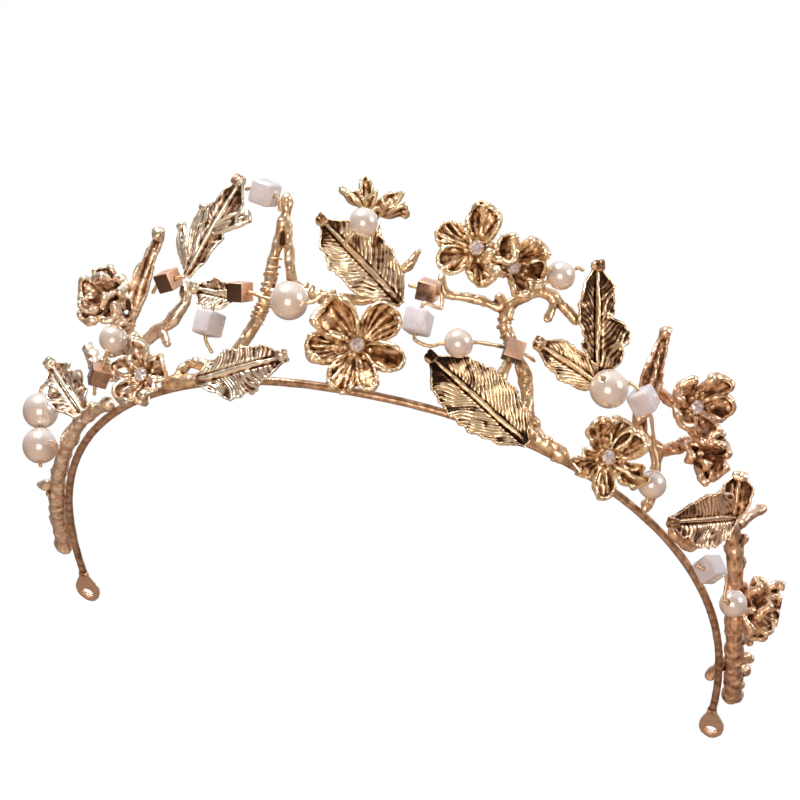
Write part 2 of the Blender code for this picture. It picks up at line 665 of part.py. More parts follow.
def strings():
    """The beads with the wire each run of them is strung on."""
    gap = (LARGE_PEARL + CLEARANCE * 1.5) * SCALE / MM
    half = LARGE_PEARL / 2 * SCALE / MM
    above = 0.6 + gap + half
    low = Bead("pearl_left_end_low", "large", (-93.4, 0.6, 4.2), (0, -1, 0))
    high = Bead("pearl_left_end_high", "large", (-93.4, 0.6 + gap, 4.2), (0, -1, 0))
    wire(
        "wire_left_end",
        [(-89.0, above + 2.35, 5.4), (-92.8, above + 1.75, 3.8 + half), high, low,
         (-93.4, -0.3 - half, 4.2 + half)],
        0.2,
    )
    cube_left = Bead("metal_cube_left", "metal", (-63.4, 3.8, 4.6), (0.75, 0.65, 0.1), 30)
    pearl_left = Bead("pearl_left", "small", (-57.8, 9.4, 4.6), (0.75, 0.65, 0.1))
    wire("wire_left", [(-66.6, 1.2, 5.6), cube_left, pearl_left, (-54.4, 12.8, 5.0)])
    cube_branch = Bead("metal_cube_branch", "metal", (-45.4, 20.0, 3.8), (1, 0.05, 0), 20)
    wire("wire_branch", [(-50.2, 19.2, 4.6), cube_branch, (-41.8, 20.0, 5.8)])
    opal_left = Bead("opal_cube_left", "opal", (-34.9, 9.2, 3.2), (-0.15, -1, 0), 40)
    wire("wire_opal_left", [(-34.7, 13.4, 5.4), opal_left, (-34.4, 3.9, 4.4)])
    cube_stem = Bead("metal_cube_stem", "metal", (-29.0, 15.4, 4.2), (1, -0.1, 0.1), 15)
    pearl_stem = Bead("pearl_stem", "large", (-18.6, 13.2, 3.4), (1, 0, 0))
    wire("wire_stem", [(-33.6, 15.8, 6.0), cube_stem, pearl_stem, (-13.2, 15.6, 6.2)])
    opal_top = Bead("opal_cube_top", "opal", (-27.9, 38.0, 1.6), (0.9, -0.3, 0), 25)
    wire("wire_opal_top", [(-31.9, 39.3, 3.6), opal_top, (-24.6, 34.4, 4.0)])
    pearl_top = Bead("pearl_top", "small", (-7.6, 30.2, 6.6), (0.5, 0.85, 0))
    wire("wire_top", [(-10.4, 25.8, 8.6), pearl_top, (-5.6, 33.6, 8.8)])
    cube_front = Bead("metal_cube_front", "metal", (6.0, 21.2, 3.0), (1, -0.1, 0.1), 45)
    opal_front = Bead("opal_cube_front", "opal", (6.0, 12.9, 5.4), (0, -1, 0), 20)
    pearl_front = Bead("pearl_front", "small", (14.0, 10.8, 4.8), (0.95, 0.3, 0))
    cube_upright = Bead("metal_cube_upright", "metal", (23.8, 14.2, 2.8), (1, 0, 0), 30)
    wire(
        "wire_front",
        [(2.4, 21.6, 4.6), cube_front, (9.2, 17.2, 7.0), (6.6, 17.0, 8.0), opal_front, (7.0, 8.8, 8.0),
         (9.2, 8.6, 8.0), pearl_front, cube_upright, (28.0, 14.4, 3.6)],
    )
    pearl_upper = Bead("pearl_upright", "small", (27.3, 31.6, 3.2), (0.7, 0.7, 0))
    wire("wire_upright", [(25.4, 28.2, 4.8), pearl_upper, (30.4, 34.6, 5.8)])
    pearl_pair = Bead("pearl_right", "large", (41.2, 12.8, 5.2), (0.7, 0, -0.6))
    opal_pair = Bead("opal_cube_right", "opal", (48.5, 15.3, 4.9), (0.8, -0.5, 0), 30)
    pearl_low = Bead("pearl_low_right", "small", (57.6, 2.2, 3.8), (0.2, -1, 0))
    beside = (41.2 + 0.675 * half, 12.8 + 0.9 * half, 5.2 + 0.5 * half)
    wire("wire_right", [pearl_pair, beside, opal_pair, (55.4, 9.4, 5.6), pearl_low, (58.6, -1.8, 5.8)])
    opal_end = Bead("opal_cube_right_end", "opal", (83.6, -0.2, 2.4), (0.85, 0.5, 0), 30)
    pearl_end = Bead("pearl_right_end", "small", (95.4, -0.6, 3.4), (0.9, 0.4, 0))
    wire(
        "wire_right_end",
        [(79.6, -2.2, 4.6), opal_end, (89.0, 1.6, 5.6), (91.4, -1.8, 6.2), pearl_end, (98.9, 0.4, 6.4)],
    )
    for bead in (
        low, high, cube_left, pearl_left, cube_branch, opal_left, cube_stem, pearl_stem, opal_top, pearl_top,
        cube_front, opal_front, pearl_front, cube_upright, pearl_upper, pearl_pair, opal_pair, pearl_low,
        opal_end, pearl_end,
    ):
        bead.build()


def centre_on_floor():
    """Moves everything so that the parts' box stands on the floor, centred on the origin."""
    bpy.context.view_layer.update()
    graph = bpy.context.evaluated_depsgraph_get()
    low = np.full(3, np.inf)
    high = np.full(3, -np.inf)
    for obj in PARTS.objects:
        mesh = obj.evaluated_get(graph).data
        points = np.empty(len(mesh.vertices) * 3, dtype=np.float64)
        mesh.vertices.foreach_get("co", points)
        matrix = np.array(obj.matrix_world)
        world = points.reshape(-1, 3) @ matrix[:3, :3].T + matrix[:3, 3]
        low = np.minimum(low, world.min(axis=0))
        high = np.maximum(high, world.max(axis=0))
    shift = Vector((-(low[0] + high[0]) / 2, -(low[1] + high[1]) / 2, -low[2]))
    for obj in list(PARTS.objects) + list(CUTTERS.objects):
        obj.location = obj.location + shift
    bpy.context.view_layer.update()


headband()
branches()
leaves()
flowers()
stones()
strings()
centre_on_floor()
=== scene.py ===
"""Bridal tiara: the finished castings, leaves, flowers, stones, wires and beads that are seen in place of the
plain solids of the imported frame, with their metals, pearls and glass, the floor, the light and the camera."""

import json
import math
import random

import bmesh
import bpy
import numpy as np
from mathutils import Matrix, Vector, noise


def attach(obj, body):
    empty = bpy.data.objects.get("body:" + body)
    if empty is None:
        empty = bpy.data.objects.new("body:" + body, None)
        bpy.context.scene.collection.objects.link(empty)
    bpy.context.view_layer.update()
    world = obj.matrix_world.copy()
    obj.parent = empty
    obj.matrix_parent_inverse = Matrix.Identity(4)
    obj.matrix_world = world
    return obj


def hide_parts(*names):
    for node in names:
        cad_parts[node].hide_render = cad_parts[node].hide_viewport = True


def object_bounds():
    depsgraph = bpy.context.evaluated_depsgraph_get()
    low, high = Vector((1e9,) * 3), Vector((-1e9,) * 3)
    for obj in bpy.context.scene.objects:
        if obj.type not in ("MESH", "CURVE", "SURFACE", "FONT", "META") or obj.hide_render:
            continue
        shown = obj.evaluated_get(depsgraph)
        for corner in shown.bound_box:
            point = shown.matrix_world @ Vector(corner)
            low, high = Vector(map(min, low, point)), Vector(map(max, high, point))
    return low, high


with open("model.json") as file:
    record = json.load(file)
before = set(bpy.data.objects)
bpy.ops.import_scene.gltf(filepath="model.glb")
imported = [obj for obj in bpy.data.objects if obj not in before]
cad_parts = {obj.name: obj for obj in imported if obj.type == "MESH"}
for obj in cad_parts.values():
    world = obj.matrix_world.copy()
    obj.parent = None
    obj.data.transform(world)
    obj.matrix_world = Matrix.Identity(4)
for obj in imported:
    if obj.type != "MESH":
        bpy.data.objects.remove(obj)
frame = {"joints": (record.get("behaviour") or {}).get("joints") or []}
cad_low, cad_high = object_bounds()

# Sizes in metres and degrees, as the frame has them
BAND_HALF_WIDTH = 0.0755
BAND_DEPTH = 0.086
BAND_SQUARENESS = 2.25
BAND_END = 97.5
BAND_WIRE = 0.0018
FRONT_LIFT = 0.0075
FLARE = 18.0
LARGE_PEARL = 0.008
SMALL_PEARL = 0.006
OPAL_CUBE = 0.005
METAL_CUBE = 0.004
BEAD_WIRE = 0.0006
STONE = 0.0027
STONE_SHOWS = 1.18
CUP_FOOT = 0.0006
HOLE = 0.0006 * 0.85
BAND_LENGTH = 143.8
FINE = 0.00015


# The band and the places along it

def hoop_point(angle):
    across = math.sin(math.radians(angle))
    along = math.cos(math.radians(angle))
    power = 2 / BAND_SQUARENESS
    x = BAND_HALF_WIDTH * math.copysign(abs(across) ** power, across)
    y = -BAND_DEPTH * math.copysign(abs(along) ** power, along)
    return x, y


def hoop_table():
    angles = np.linspace(-BAND_END, BAND_END, 1041)
    points = np.array([hoop_point(angle) for angle in angles])
    steps = np.linalg.norm(np.diff(points, axis=0), axis=1)
    length = np.concatenate([[0.0], np.cumsum(steps)])
    return length - length[-1] / 2, points[:, 0], points[:, 1]


LENGTHS, HOOP_X, HOOP_Y = hoop_table()
SCALE = LENGTHS[-1] * 1000 / BAND_LENGTH
MM = 0.001 * SCALE
END_Y = HOOP_Y[-1]
CENTRING = Vector((0, 0, 0))


def on_hoop(station):
    length = station * MM
    return float(np.interp(length, LENGTHS, HOOP_X)), float(np.interp(length, LENGTHS, HOOP_Y))


def outward(station):
    before = on_hoop(station - 0.6)
    after = on_hoop(station + 0.6)
    along = Vector((after[0] - before[0], after[1] - before[1], 0)).normalized()
    return Vector((along.y, -along.x, 0)), along


def spot(station, height, out):
    """The point at a station along the band, a height up the flare and a distance out, in millimetres."""
    x, y = on_hoop(station)
    normal, _ = outward(station)
    lean = math.radians(FLARE)
    rise = BAND_WIRE / 2 + FRONT_LIFT * (END_Y - y) / (END_Y + BAND_DEPTH)
    flat = out + height * math.sin(lean)
    return Vector((x, y, rise + height * math.cos(lean) * MM)) + normal * flat * MM + CENTRING


def facing(station, height, out, turn=0, tilt=0, spin=0, heel=0):
    """A frame at a spot: Z faces out and Y goes up the flare."""
    normal, along = outward(station)
    lean = math.radians(FLARE)
    up = (normal * math.sin(lean) + Vector((0, 0, math.cos(lean)))).normalized()
    face = along.cross(up)
    axes = Matrix((along, up, face)).transposed()
    sideways = Matrix.Rotation(math.radians(heel), 3, "Z")
    swing = Matrix.Rotation(math.radians(turn), 3, "Y")
    nod = Matrix.Rotation(math.radians(-tilt), 3, "X")
    roll = Matrix.Rotation(math.radians(spin), 3, "Z")
    return Matrix.Translation(spot(station, height, out)) @ (axes @ sideways @ swing @ nod @ roll).to_4x4()


BEAD_JOINTS = {joint["child"]: joint for joint in frame["joints"]}
CENTRING = Vector(BEAD_JOINTS["pearl_stem"]["pos_m"]) - spot(-18.6, 13.2, 7.4)


# Materials

class Amount:
    """A socket's value, which takes the signs of arithmetic and adds the nodes for them."""

    def __init__(self, finish, socket):
        self.finish = finish
        self.socket = socket

    def reckon(self, operation, first, second):
        made = self.finish.node("Math", {"operation": operation}, [first, second])
        return Amount(self.finish, made.outputs[0])

    def __add__(self, other):
        return self.reckon("ADD", self, other)

    def __radd__(self, other):
        return self.reckon("ADD", other, self)

    def __sub__(self, other):
        return self.reckon("SUBTRACT", self, other)

    def __rsub__(self, other):
        return self.reckon("SUBTRACT", other, self)

    def __mul__(self, other):
        return self.reckon("MULTIPLY", self, other)

    def __rmul__(self, other):
        return self.reckon("MULTIPLY", other, self)


def fill_ramp(ramp, stops):
    while len(ramp.elements) < len(stops):
        ramp.elements.new(0.5)
    for element, (position, colour) in zip(ramp.elements, stops):
        element.position = position
        element.color = (*colour, 1)


class Finish:
    """A material with its nodes."""

    def __init__(self, name, **constants):
        self.material = bpy.data.materials.new(name)
        self.material.use_nodes = True
        self.tree = self.material.node_tree
        self.shader = self.tree.nodes["Principled BSDF"]
        for socket, value in constants.items():
            self.shader.inputs[socket.replace("_", " ")].default_value = value

    def link(self, value, socket):
        if isinstance(value, Amount):
            self.tree.links.new(value.socket, socket)
        elif isinstance(value, bpy.types.NodeSocket):
            self.tree.links.new(value, socket)
        else:
            socket.default_value = value

    def node(self, kind, settings=None, inputs=()):
        made = self.tree.nodes.new("ShaderNode" + kind)
        for name, value in (settings or {}).items():
            if name == "stops":
                fill_ramp(made.color_ramp, value)
            else:
                setattr(made, name, value)
        given = inputs.items() if isinstance(inputs, dict) else enumerate(inputs)
        for socket, value in given:
            self.link(value, made.inputs[socket])
        return made

    def place(self):
        return self.node("TexCoord").outputs["Object"]

    def grain(self, per_millimetre, detail=3.0, roughness=0.55, distortion=0.0):
        """Noise with that many lumps to the millimetre."""
        sizes = {"Vector": self.place(), "Scale": per_millimetre * 1000, "Detail": detail}
        sizes.update({"Roughness": roughness, "Distortion": distortion})
        return Amount(self, self.node("TexNoise", {}, sizes).outputs[0])

    def limited(self, amount, low, high):
        """The amount from low to high brought to the range 0 to 1."""
        ranges = {"Value": amount, "From Min": low, "From Max": high}
        return Amount(self, self.node("MapRange", {"clamp": True}, ranges).outputs[0])

    def ramp(self, amount, stops):
        return self.node("ValToRGB", {"stops": stops}, [amount]).outputs[0]

    def mixed(self, share, first, second):
        blend = self.node("Mix", {"data_type": "RGBA"}, {0: share})
        self.link(first, blend.inputs[6])
        self.link(second, blend.inputs[7])
        return blend.outputs[2]

    def bumped(self, height, strength, depth):
        inputs = {"Strength": strength, "Distance": depth, "Height": height}
        return self.node("Bump", {}, inputs).outputs[0]

    def set(self, **sockets):
        for name, value in sockets.items():
            self.link(value, self.shader.inputs[name.replace("_", " ")])
        return self.material


def antique_gold(name, bright, middle, dark, wear=0.0, contrast=1.0, shade_reach=0.002):
    """Cast gold alloy, darkened all over and rubbed bright on whatever stands proud, with painted shade where
    its own metal hems the surface in.
    """
    finish = Finish(name)
    proud = Amount(finish, finish.node("Attribute", {"attribute_name": "proud"}).outputs["Fac"])
    # Painted shade: ambient occlusion from the piece's own metal darkens the colour in creases and between its
    # parts
    around = finish.node("AmbientOcclusion", {"samples": 6, "only_local": True}, {"Distance": shade_reach})
    unshaded = finish.limited(Amount(finish, around.outputs["AO"]), 0.1, 0.8)
    cloud = finish.grain(0.4, 4)
    speck = finish.grain(2.2, 3)
    rubbed = (proud - 0.5) * contrast + (cloud - 0.5) * 0.7 + (speck - 0.5) * 0.3 + (wear + 0.5)
    # The polish here drops in painted shade as well as in the patina of the hollows
    polish_and_shade = finish.limited(rubbed * (unshaded * 0.6 + 0.4), 0.0, 1.0)
    # The darkest colour, reached in deep patina and in painted shade
    soot_and_shade = tuple(value * 0.35 for value in dark)
    glint = tuple(min(value * 1.12, 1) for value in bright)
    stops = [(0.0, soot_and_shade), (0.2, dark), (0.46, middle), (0.8, bright), (1.0, glint)]
    colour = finish.ramp(polish_and_shade, stops)
    rough = 0.48 - polish_and_shade * 0.18 + (speck - 0.5) * 0.06
    metal = 0.75 + polish_and_shade * 0.25
    height = finish.grain(1.1, 5, 0.6) + finish.grain(4.5, 2) * 0.35
    bump = finish.bumped(height, 0.16, 0.0001)
    return finish.set(Base_Color=colour, Roughness=rough, Metallic=metal, Normal=bump)


def drawn_wire(name, bright, dark):
    """Thin round wire, bright with a little brown in its scratches."""
    finish = Finish(name, Metallic=1.0)
    cloud = finish.grain(0.8, 3)
    scratch = finish.grain(5.0, 2, 0.6, 1.5)
    share = finish.limited(cloud * 0.6 + scratch * 0.5, 0.3, 0.8)
    colour = finish.mixed(share, (*dark, 1), (*bright, 1))
    rough = 0.3 + (1 - share) * 0.2
    return finish.set(Base_Color=colour, Roughness=rough, Normal=finish.bumped(scratch, 0.15, 0.00003))


def imitation_pearl():
    """Lacquered glass pearl: warm cream below a hard clear coat, with slow clouds of pink and grey."""
    finish = Finish("imitation_pearl", Coat_Roughness=0.04, Coat_IOR=1.8)
    cloud = finish.grain(0.22, 3)
    skin = finish.grain(1.6, 3)
    blush = (0.90, 0.76, 0.66, 1)
    cream = (0.90, 0.84, 0.80, 1)
    colour = finish.mixed(finish.limited(cloud, 0.35, 0.65), blush, cream)
    rough = 0.26 + (skin - 0.5) * 0.1
    coat = 0.9 + (cloud - 0.5) * 0.2
    metal = 0.3 + finish.limited(cloud, 0.2, 0.8) * 0.15
    bump = finish.bumped(skin, 0.05, 0.00004)
    return finish.set(Base_Color=colour, Roughness=rough, Metallic=metal, Coat_Weight=coat, Normal=bump)


def milky_glass():
    """Opal glass: milky lavender, a little clear at the surface."""
    finish = Finish("milky_glass", IOR=1.5, Coat_Roughness=0.05)
    cloud = finish.grain(0.3, 4, 0.6, 0.6)
    fleck = finish.grain(2.5, 2)
    colour = finish.mixed(finish.limited(cloud, 0.35, 0.7), (0.70, 0.67, 0.74, 1), (0.88, 0.85, 0.88, 1))
    rough = 0.22 + (fleck - 0.5) * 0.1
    return finish.set(Base_Color=colour, Roughness=rough, Coat_Weight=0.7 + cloud * 0.3)


def plated_cube():
    """Rose copper on the faces turned up and to the front, near black on the faces turned away, and pitted all
    over.
    """
    finish = Finish("plated_cube", Coat_Roughness=0.05)
    plated = Amount(finish, finish.node("Attribute", {"attribute_name": "plated"}).outputs["Fac"])
    fleck = finish.grain(3.2, 4, 0.7)
    cloud = finish.grain(0.7, 3)
    rosy = finish.limited(plated + (cloud - 0.5) * 0.5, 0.2, 0.8)
    colour = finish.mixed(rosy, (0.16, 0.10, 0.07, 1), (0.97, 0.64, 0.47, 1))
    pitted = finish.mixed(finish.limited(fleck, 0.64, 0.72), colour, (0.22, 0.12, 0.08, 1))
    rough = 0.16 + rosy * 0.22 + finish.limited(fleck, 0.45, 0.75) * 0.2
    return finish.set(Base_Color=pitted, Roughness=rough, Metallic=0.9 + rosy * 0.1)


def foiled_stone():
    """Clear glass over silver foil, with painted reflections: small cells of it painted light and some dark."""
    finish = Finish("foiled_stone", IOR=1.6, Coat_Weight=1.0, Coat_Roughness=0.02)
    facets = finish.node("TexVoronoi", {"distance": "CHEBYCHEV"}, {"Vector": finish.place(), "Scale": 1600.0})
    # Painted reflections: light and dark cells stand in for facets that flash and facets that don't
    painted_flash = finish.limited(Amount(finish, facets.outputs["Distance"]), 0.15, 0.6)
    colour = finish.mixed(painted_flash, (1.0, 0.98, 1.0, 1), (0.70, 0.60, 0.62, 1))
    return finish.set(Base_Color=colour, Roughness=0.1 + painted_flash * 0.15, Metallic=0.2 + painted_flash * 0.4)


BAND_GOLD = antique_gold(
    "band_gold", (0.84, 0.60, 0.43), (0.34, 0.18, 0.09), (0.09, 0.035, 0.014), -0.48, 1.3
)
# Painted light and shade: the pale, gold, deep and brown copies of one antique gold go paler on the pieces to
# the left, where the light comes from, and browner and deeper on those to the right
STEM_PALE = antique_gold("stem_pale", (0.97, 0.78, 0.62), (0.70, 0.46, 0.31), (0.27, 0.13, 0.06), 0.08)
STEM_GOLD = antique_gold("stem_gold", (0.96, 0.72, 0.49), (0.60, 0.35, 0.18), (0.20, 0.085, 0.03), 0.0)
STEM_BROWN = antique_gold("stem_brown", (0.89, 0.62, 0.43), (0.55, 0.32, 0.19), (0.21, 0.095, 0.045), -0.03)
LEAF_PALE = antique_gold(
    "leaf_pale", (1.0, 0.86, 0.72), (0.52, 0.34, 0.22), (0.13, 0.055, 0.024), 0.08, 1.5
)
LEAF_GOLD = antique_gold(
    "leaf_gold", (0.98, 0.76, 0.54), (0.36, 0.19, 0.09), (0.075, 0.028, 0.01), -0.04, 1.25
)
LEAF_DEEP = antique_gold(
    "leaf_deep", (0.96, 0.72, 0.48), (0.25, 0.125, 0.055), (0.045, 0.017, 0.006), -0.08, 1.25
)
LEAF_BROWN = antique_gold(
    "leaf_brown", (0.93, 0.68, 0.49), (0.36, 0.20, 0.11), (0.09, 0.036, 0.016), -0.02, 1.2
)
PETAL_PALE = antique_gold(
    "petal_pale", (0.98, 0.80, 0.64), (0.70, 0.46, 0.31), (0.25, 0.115, 0.055), 0.08, 0.9, 0.0015
)
PETAL_GOLD = antique_gold(
    "petal_gold", (0.99, 0.77, 0.54), (0.63, 0.37, 0.18), (0.20, 0.085, 0.03), 0.06, 0.95, 0.0015
)
PETAL_BROWN = antique_gold(
    "petal_brown", (0.92, 0.66, 0.46), (0.58, 0.34, 0.20), (0.21, 0.095, 0.045), 0.04, 0.9, 0.0015
)
WIRE_GOLD = drawn_wire("wire_gold", (1.0, 0.85, 0.60), (0.72, 0.47, 0.24))
PEARL = imitation_pearl()
OPAL = milky_glass()
COPPER = plated_cube()
CLEAR = foiled_stone()


# Ways of making a piece

def mesh_of(name, shape):
    """The bmesh as a mesh, with the bmesh freed."""
    mesh = bpy.data.meshes.new(name)
    shape.to_mesh(mesh)
    shape.free()
    return mesh


def placed(name, data):
    obj = bpy.data.objects.new(name, data)
    bpy.context.scene.collection.objects.link(obj)
    return obj


def smooth(shape):
    verts = shape.verts
    bmesh.ops.smooth_vert(shape, verts=verts, factor=0.5, use_axis_x=True, use_axis_y=True, use_axis_z=True)


def any_way(chance, lowest=-1):
    """A direction at random, its rise no less than lowest."""
    return Vector((chance.uniform(-1, 1), chance.uniform(-1, 1), chance.uniform(lowest, 1))).normalized()


def next_ring(shape, edges):
    """Extrudes a ring of edges and gives the new ring's points and edges."""
    grown = bmesh.ops.extrude_edge_only(shape, edges=edges)["geom"]
    verts = [part for part in grown if isinstance(part, bmesh.types.BMVert)]
    edges = [part for part in grown if isinstance(part, bmesh.types.BMEdge)]
    return verts, [edge for edge in edges if edge.verts[0] in verts and edge.verts[1] in verts]


def eased(points, between=1):
    """The run of points with smooth ones put between them."""
    points = [Vector(point) for point in points]
    run = [points[0]]
    for i in range(len(points) - 1):
        before = points[max(i - 1, 0)]
        after = points[min(i + 2, len(points) - 1)]
        leaving = (points[i + 1] - before) * 0.5 if i > 0 else points[1] - points[0]
        arriving = (after - points[i]) * 0.5 if i + 2 < len(points) else points[i + 1] - points[i]
        for step in range(1, between + 2):
            t = step / (between + 1)
            run.append(
                points[i] * (2 * t**3 - 3 * t**2 + 1) + leaving * (t**3 - 2 * t**2 + t)
                + points[i + 1] * (3 * t**2 - 2 * t**3) + arriving * (t**3 - t**2)
            )
    return run


def frames_along(points):
    """A frame at each point, its Z along the run, turning as little as it can."""
    frames = []
    ahead = (points[1] - points[0]).normalized()
    turn = Vector((0, 0, 1)).rotation_difference(ahead).to_matrix()
    for i, point in enumerate(points):
        before = points[max(i - 1, 0)]
        after = points[min(i + 1, len(points) - 1)]
        now = (after - before).normalized()
        turn = ahead.rotation_difference(now).to_matrix() @ turn
        ahead = now
        frames.append(Matrix.Translation(point) @ turn.to_4x4())
    return frames


def add_rod(shape, points, radii, sides=10):
    """A round rod through the points with domed ends."""
    ahead = (points[0] - points[1]).normalized()
    behind = (points[-1] - points[-2]).normalized()
    dome = [(0.55, 0.75), (0.85, 0.4)]
    front = [(points[0] + ahead * radii[0] * reach, radii[0] * size) for reach, size in reversed(dome)]
    back = [(points[-1] + behind * radii[-1] * reach, radii[-1] * size) for reach, size in dome]
    run = front + list(zip(points, radii)) + back
    frames = frames_along([point for point, _ in run])
    ring = bmesh.ops.create_circle(shape, segments=sides, radius=run[0][1], cap_ends=True, matrix=frames[0])
    edges = list({edge for vert in ring["verts"] for edge in vert.link_edges})
    for i in range(1, len(run)):
        verts, edges = next_ring(shape, edges)
        size = run[i][1] / run[i - 1][1]
        move = frames[i] @ Matrix.Scale(size, 4) @ frames[i - 1].inverted()
        bmesh.ops.transform(shape, matrix=move, verts=verts)
    bmesh.ops.holes_fill(shape, edges=edges, sides=0)
    return shape


def add_strut(shape, foot, head, radius):
    add_rod(shape, [foot, foot.lerp(head, 0.5), head], [radius] * 3, 6)


def add_knob(shape, centre, radius, squash=1.0, seed=0):
    turn = Matrix.Rotation(seed * 1.7, 4, "X") @ Matrix.Rotation(seed * 2.3, 4, "Y")
    size = Matrix.Diagonal((radius, radius, radius * squash, 1))
    matrix = Matrix.Translation(centre) @ turn @ size
    bmesh.ops.create_icosphere(shape, subdivisions=2, radius=1, matrix=matrix)


def evaluated(shape, add_modifier):
    """The bmesh after a modifier, as a new bmesh."""
    bmesh.ops.recalc_face_normals(shape, faces=shape.faces)
    mesh = mesh_of("work", shape)
    obj = placed("work", mesh)
    add_modifier(obj)
    bpy.context.view_layer.update()
    graph = bpy.context.evaluated_depsgraph_get()
    made = bpy.data.meshes.new_from_object(obj.evaluated_get(graph))
    bpy.data.objects.remove(obj)
    bpy.data.meshes.remove(mesh)
    shape = bmesh.new()
    shape.from_mesh(made)
    bpy.data.meshes.remove(made)
    return shape


def thickened(shape, thickness):
    def solidify(obj):
        modifier = obj.modifiers.new("thickness", "SOLIDIFY")
        modifier.thickness = thickness
        modifier.offset = 0
        modifier.use_even_offset = False
    return evaluated(shape, solidify)


def poured(shape, grain=FINE, rounds=2):
    """One skin round everything in the bmesh, as if it were cast in one pour."""
    def remesh(obj):
        modifier = obj.modifiers.new("skin", "REMESH")
        modifier.mode = "VOXEL"
        modifier.voxel_size = grain
    shape = evaluated(shape, remesh)
    for _ in range(rounds):
        smooth(shape)
    return shape


def gather(shape, other):
    """Adds another bmesh's geometry to the bmesh."""
    mesh = mesh_of("part", other)
    shape.from_mesh(mesh)
    bpy.data.meshes.remove(mesh)


def roughen(shape, lumps):
    """Moves the skin in and out by (depth in mm, lumps to the mm) noises, as an uneven casting."""
    shape.normal_update()
    moves = []
    for vert in shape.verts:
        move = 0.0
        for depth, fineness in lumps:
            move += depth * noise.noise(vert.co * fineness * 1000)
        moves.append(vert.normal * move * 0.001)
    for vert, move in zip(shape.verts, moves):
        vert.co += move


def spread_out(values, first, second, share):
    """Each point's mean with its neighbours."""
    total = np.empty_like(values)
    for axis in range(values.shape[1]):
        column = values[:, axis]
        ahead = np.bincount(first, column[second], len(values))
        total[:, axis] = ahead + np.bincount(second, column[first], len(values))
    return total / share


def mark_proud(mesh, reach, level=False):
    """Stores how proud the surface stands at each point: 0 in a hollow, 0.5 on the flat and 1 on a ridge.
    With level, the height that half of the surface reaches counts as the flat."""
    count = len(mesh.vertices)
    points = np.empty(count * 3)
    mesh.vertices.foreach_get("co", points)
    points = points.reshape(-1, 3)
    normals = np.empty(count * 3)
    mesh.vertex_normals.foreach_get("vector", normals)
    normals = normals.reshape(-1, 3)
    ends = np.empty(len(mesh.edges) * 2, dtype=np.int64)
    mesh.edges.foreach_get("vertices", ends)
    first, second = ends[0::2], ends[1::2]
    share = np.maximum(np.bincount(first, minlength=count) + np.bincount(second, minlength=count), 1)[:, None]
    edge = np.linalg.norm(points[first] - points[second], axis=1).mean()
    passes = int(min(max((reach / edge) ** 2, 4), 60))
    soft = points
    for _ in range(passes):
        soft = (soft + spread_out(soft, first, second, share)) / 2
    depth = ((points - soft) * normals).sum(axis=1)
    if level:
        depth -= np.median(depth)
    value = 0.5 + depth / (reach * 0.24)
    value = spread_out(value[:, None], first, second, share)[:, 0]
    attribute = mesh.attributes.new("proud", "FLOAT", "POINT")
    attribute.data.foreach_set("value", np.clip(value, 0, 1).astype(np.float32))


def finished(
    name, shape, material, nodes=(), body="tiara", smooth=True, proud=0.0009, level=False,
):
    """The bmesh as a piece of the object, inside the frame's box, in place of its plain nodes."""
    mesh = mesh_of(name, shape)
    points = np.empty(len(mesh.vertices) * 3)
    mesh.vertices.foreach_get("co", points)
    points = np.clip(points.reshape(-1, 3), np.array(cad_low), np.array(cad_high))
    mesh.vertices.foreach_set("co", points.ravel())
    mesh.update()
    mesh.shade_smooth() if smooth else mesh.shade_flat()
    if proud:
        mark_proud(mesh, proud, level)
    mesh.materials.append(material)
    obj = placed(name, mesh)
    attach(obj, body)
    if nodes:
        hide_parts(*nodes)
    return obj


# Branches

PLUMP = 1.28


def add_twig(shape, places, thick, thin, between=3, seed=1):
    """A tapering, knotty rod through (station, height, out) places."""
    chance = random.Random(seed)
    run = eased([spot(*place) for place in places], between)
    last = len(run) - 1
    radii = []
    for i in range(len(run)):
        swell = PLUMP + 0.12 * math.sin(i * 1.3 + seed) + chance.uniform(-0.1, 0.1)
        radii.append((thick + (thin - thick) * i / last) * swell * MM)
    add_rod(shape, run, radii, 12)
    for i in range(1, last, 2):
        lean = any_way(chance)
        add_knob(shape, run[i] + lean * radii[i] * 0.6, radii[i] * chance.uniform(0.5, 0.78), 0.75, i)


def add_burr(shape, place, radius, seed):
    """A knot of three rounded lumps."""
    chance = random.Random(seed)
    centre = spot(*place)
    add_knob(shape, centre, radius * MM, 0.9, seed)
    for i in range(3):
        lean = any_way(chance, -0.6)
        size = radius * chance.uniform(0.5, 0.75)
        add_knob(shape, centre + lean * radius * 0.7 * MM, size * MM, 0.8, seed + i)


def branch(name, material, runs, burrs=(), leaves=()):
    shape = bmesh.new()
    for i, (places, thick, thin) in enumerate(runs):
        add_twig(shape, places, thick, thin, seed=i * 7 + len(name))
    for i, (place, radius) in enumerate(burrs):
        add_burr(shape, place, radius, i * 5 + len(name))
    for other in leaves:
        gather(shape, other)
    shape = poured(shape, FINE * 1.3, 2)
    roughen(shape, [(0.42, 0.42), (0.12, 1.1), (0.02, 2.6)])
    return finished("cast_" + name, shape, material, [name])


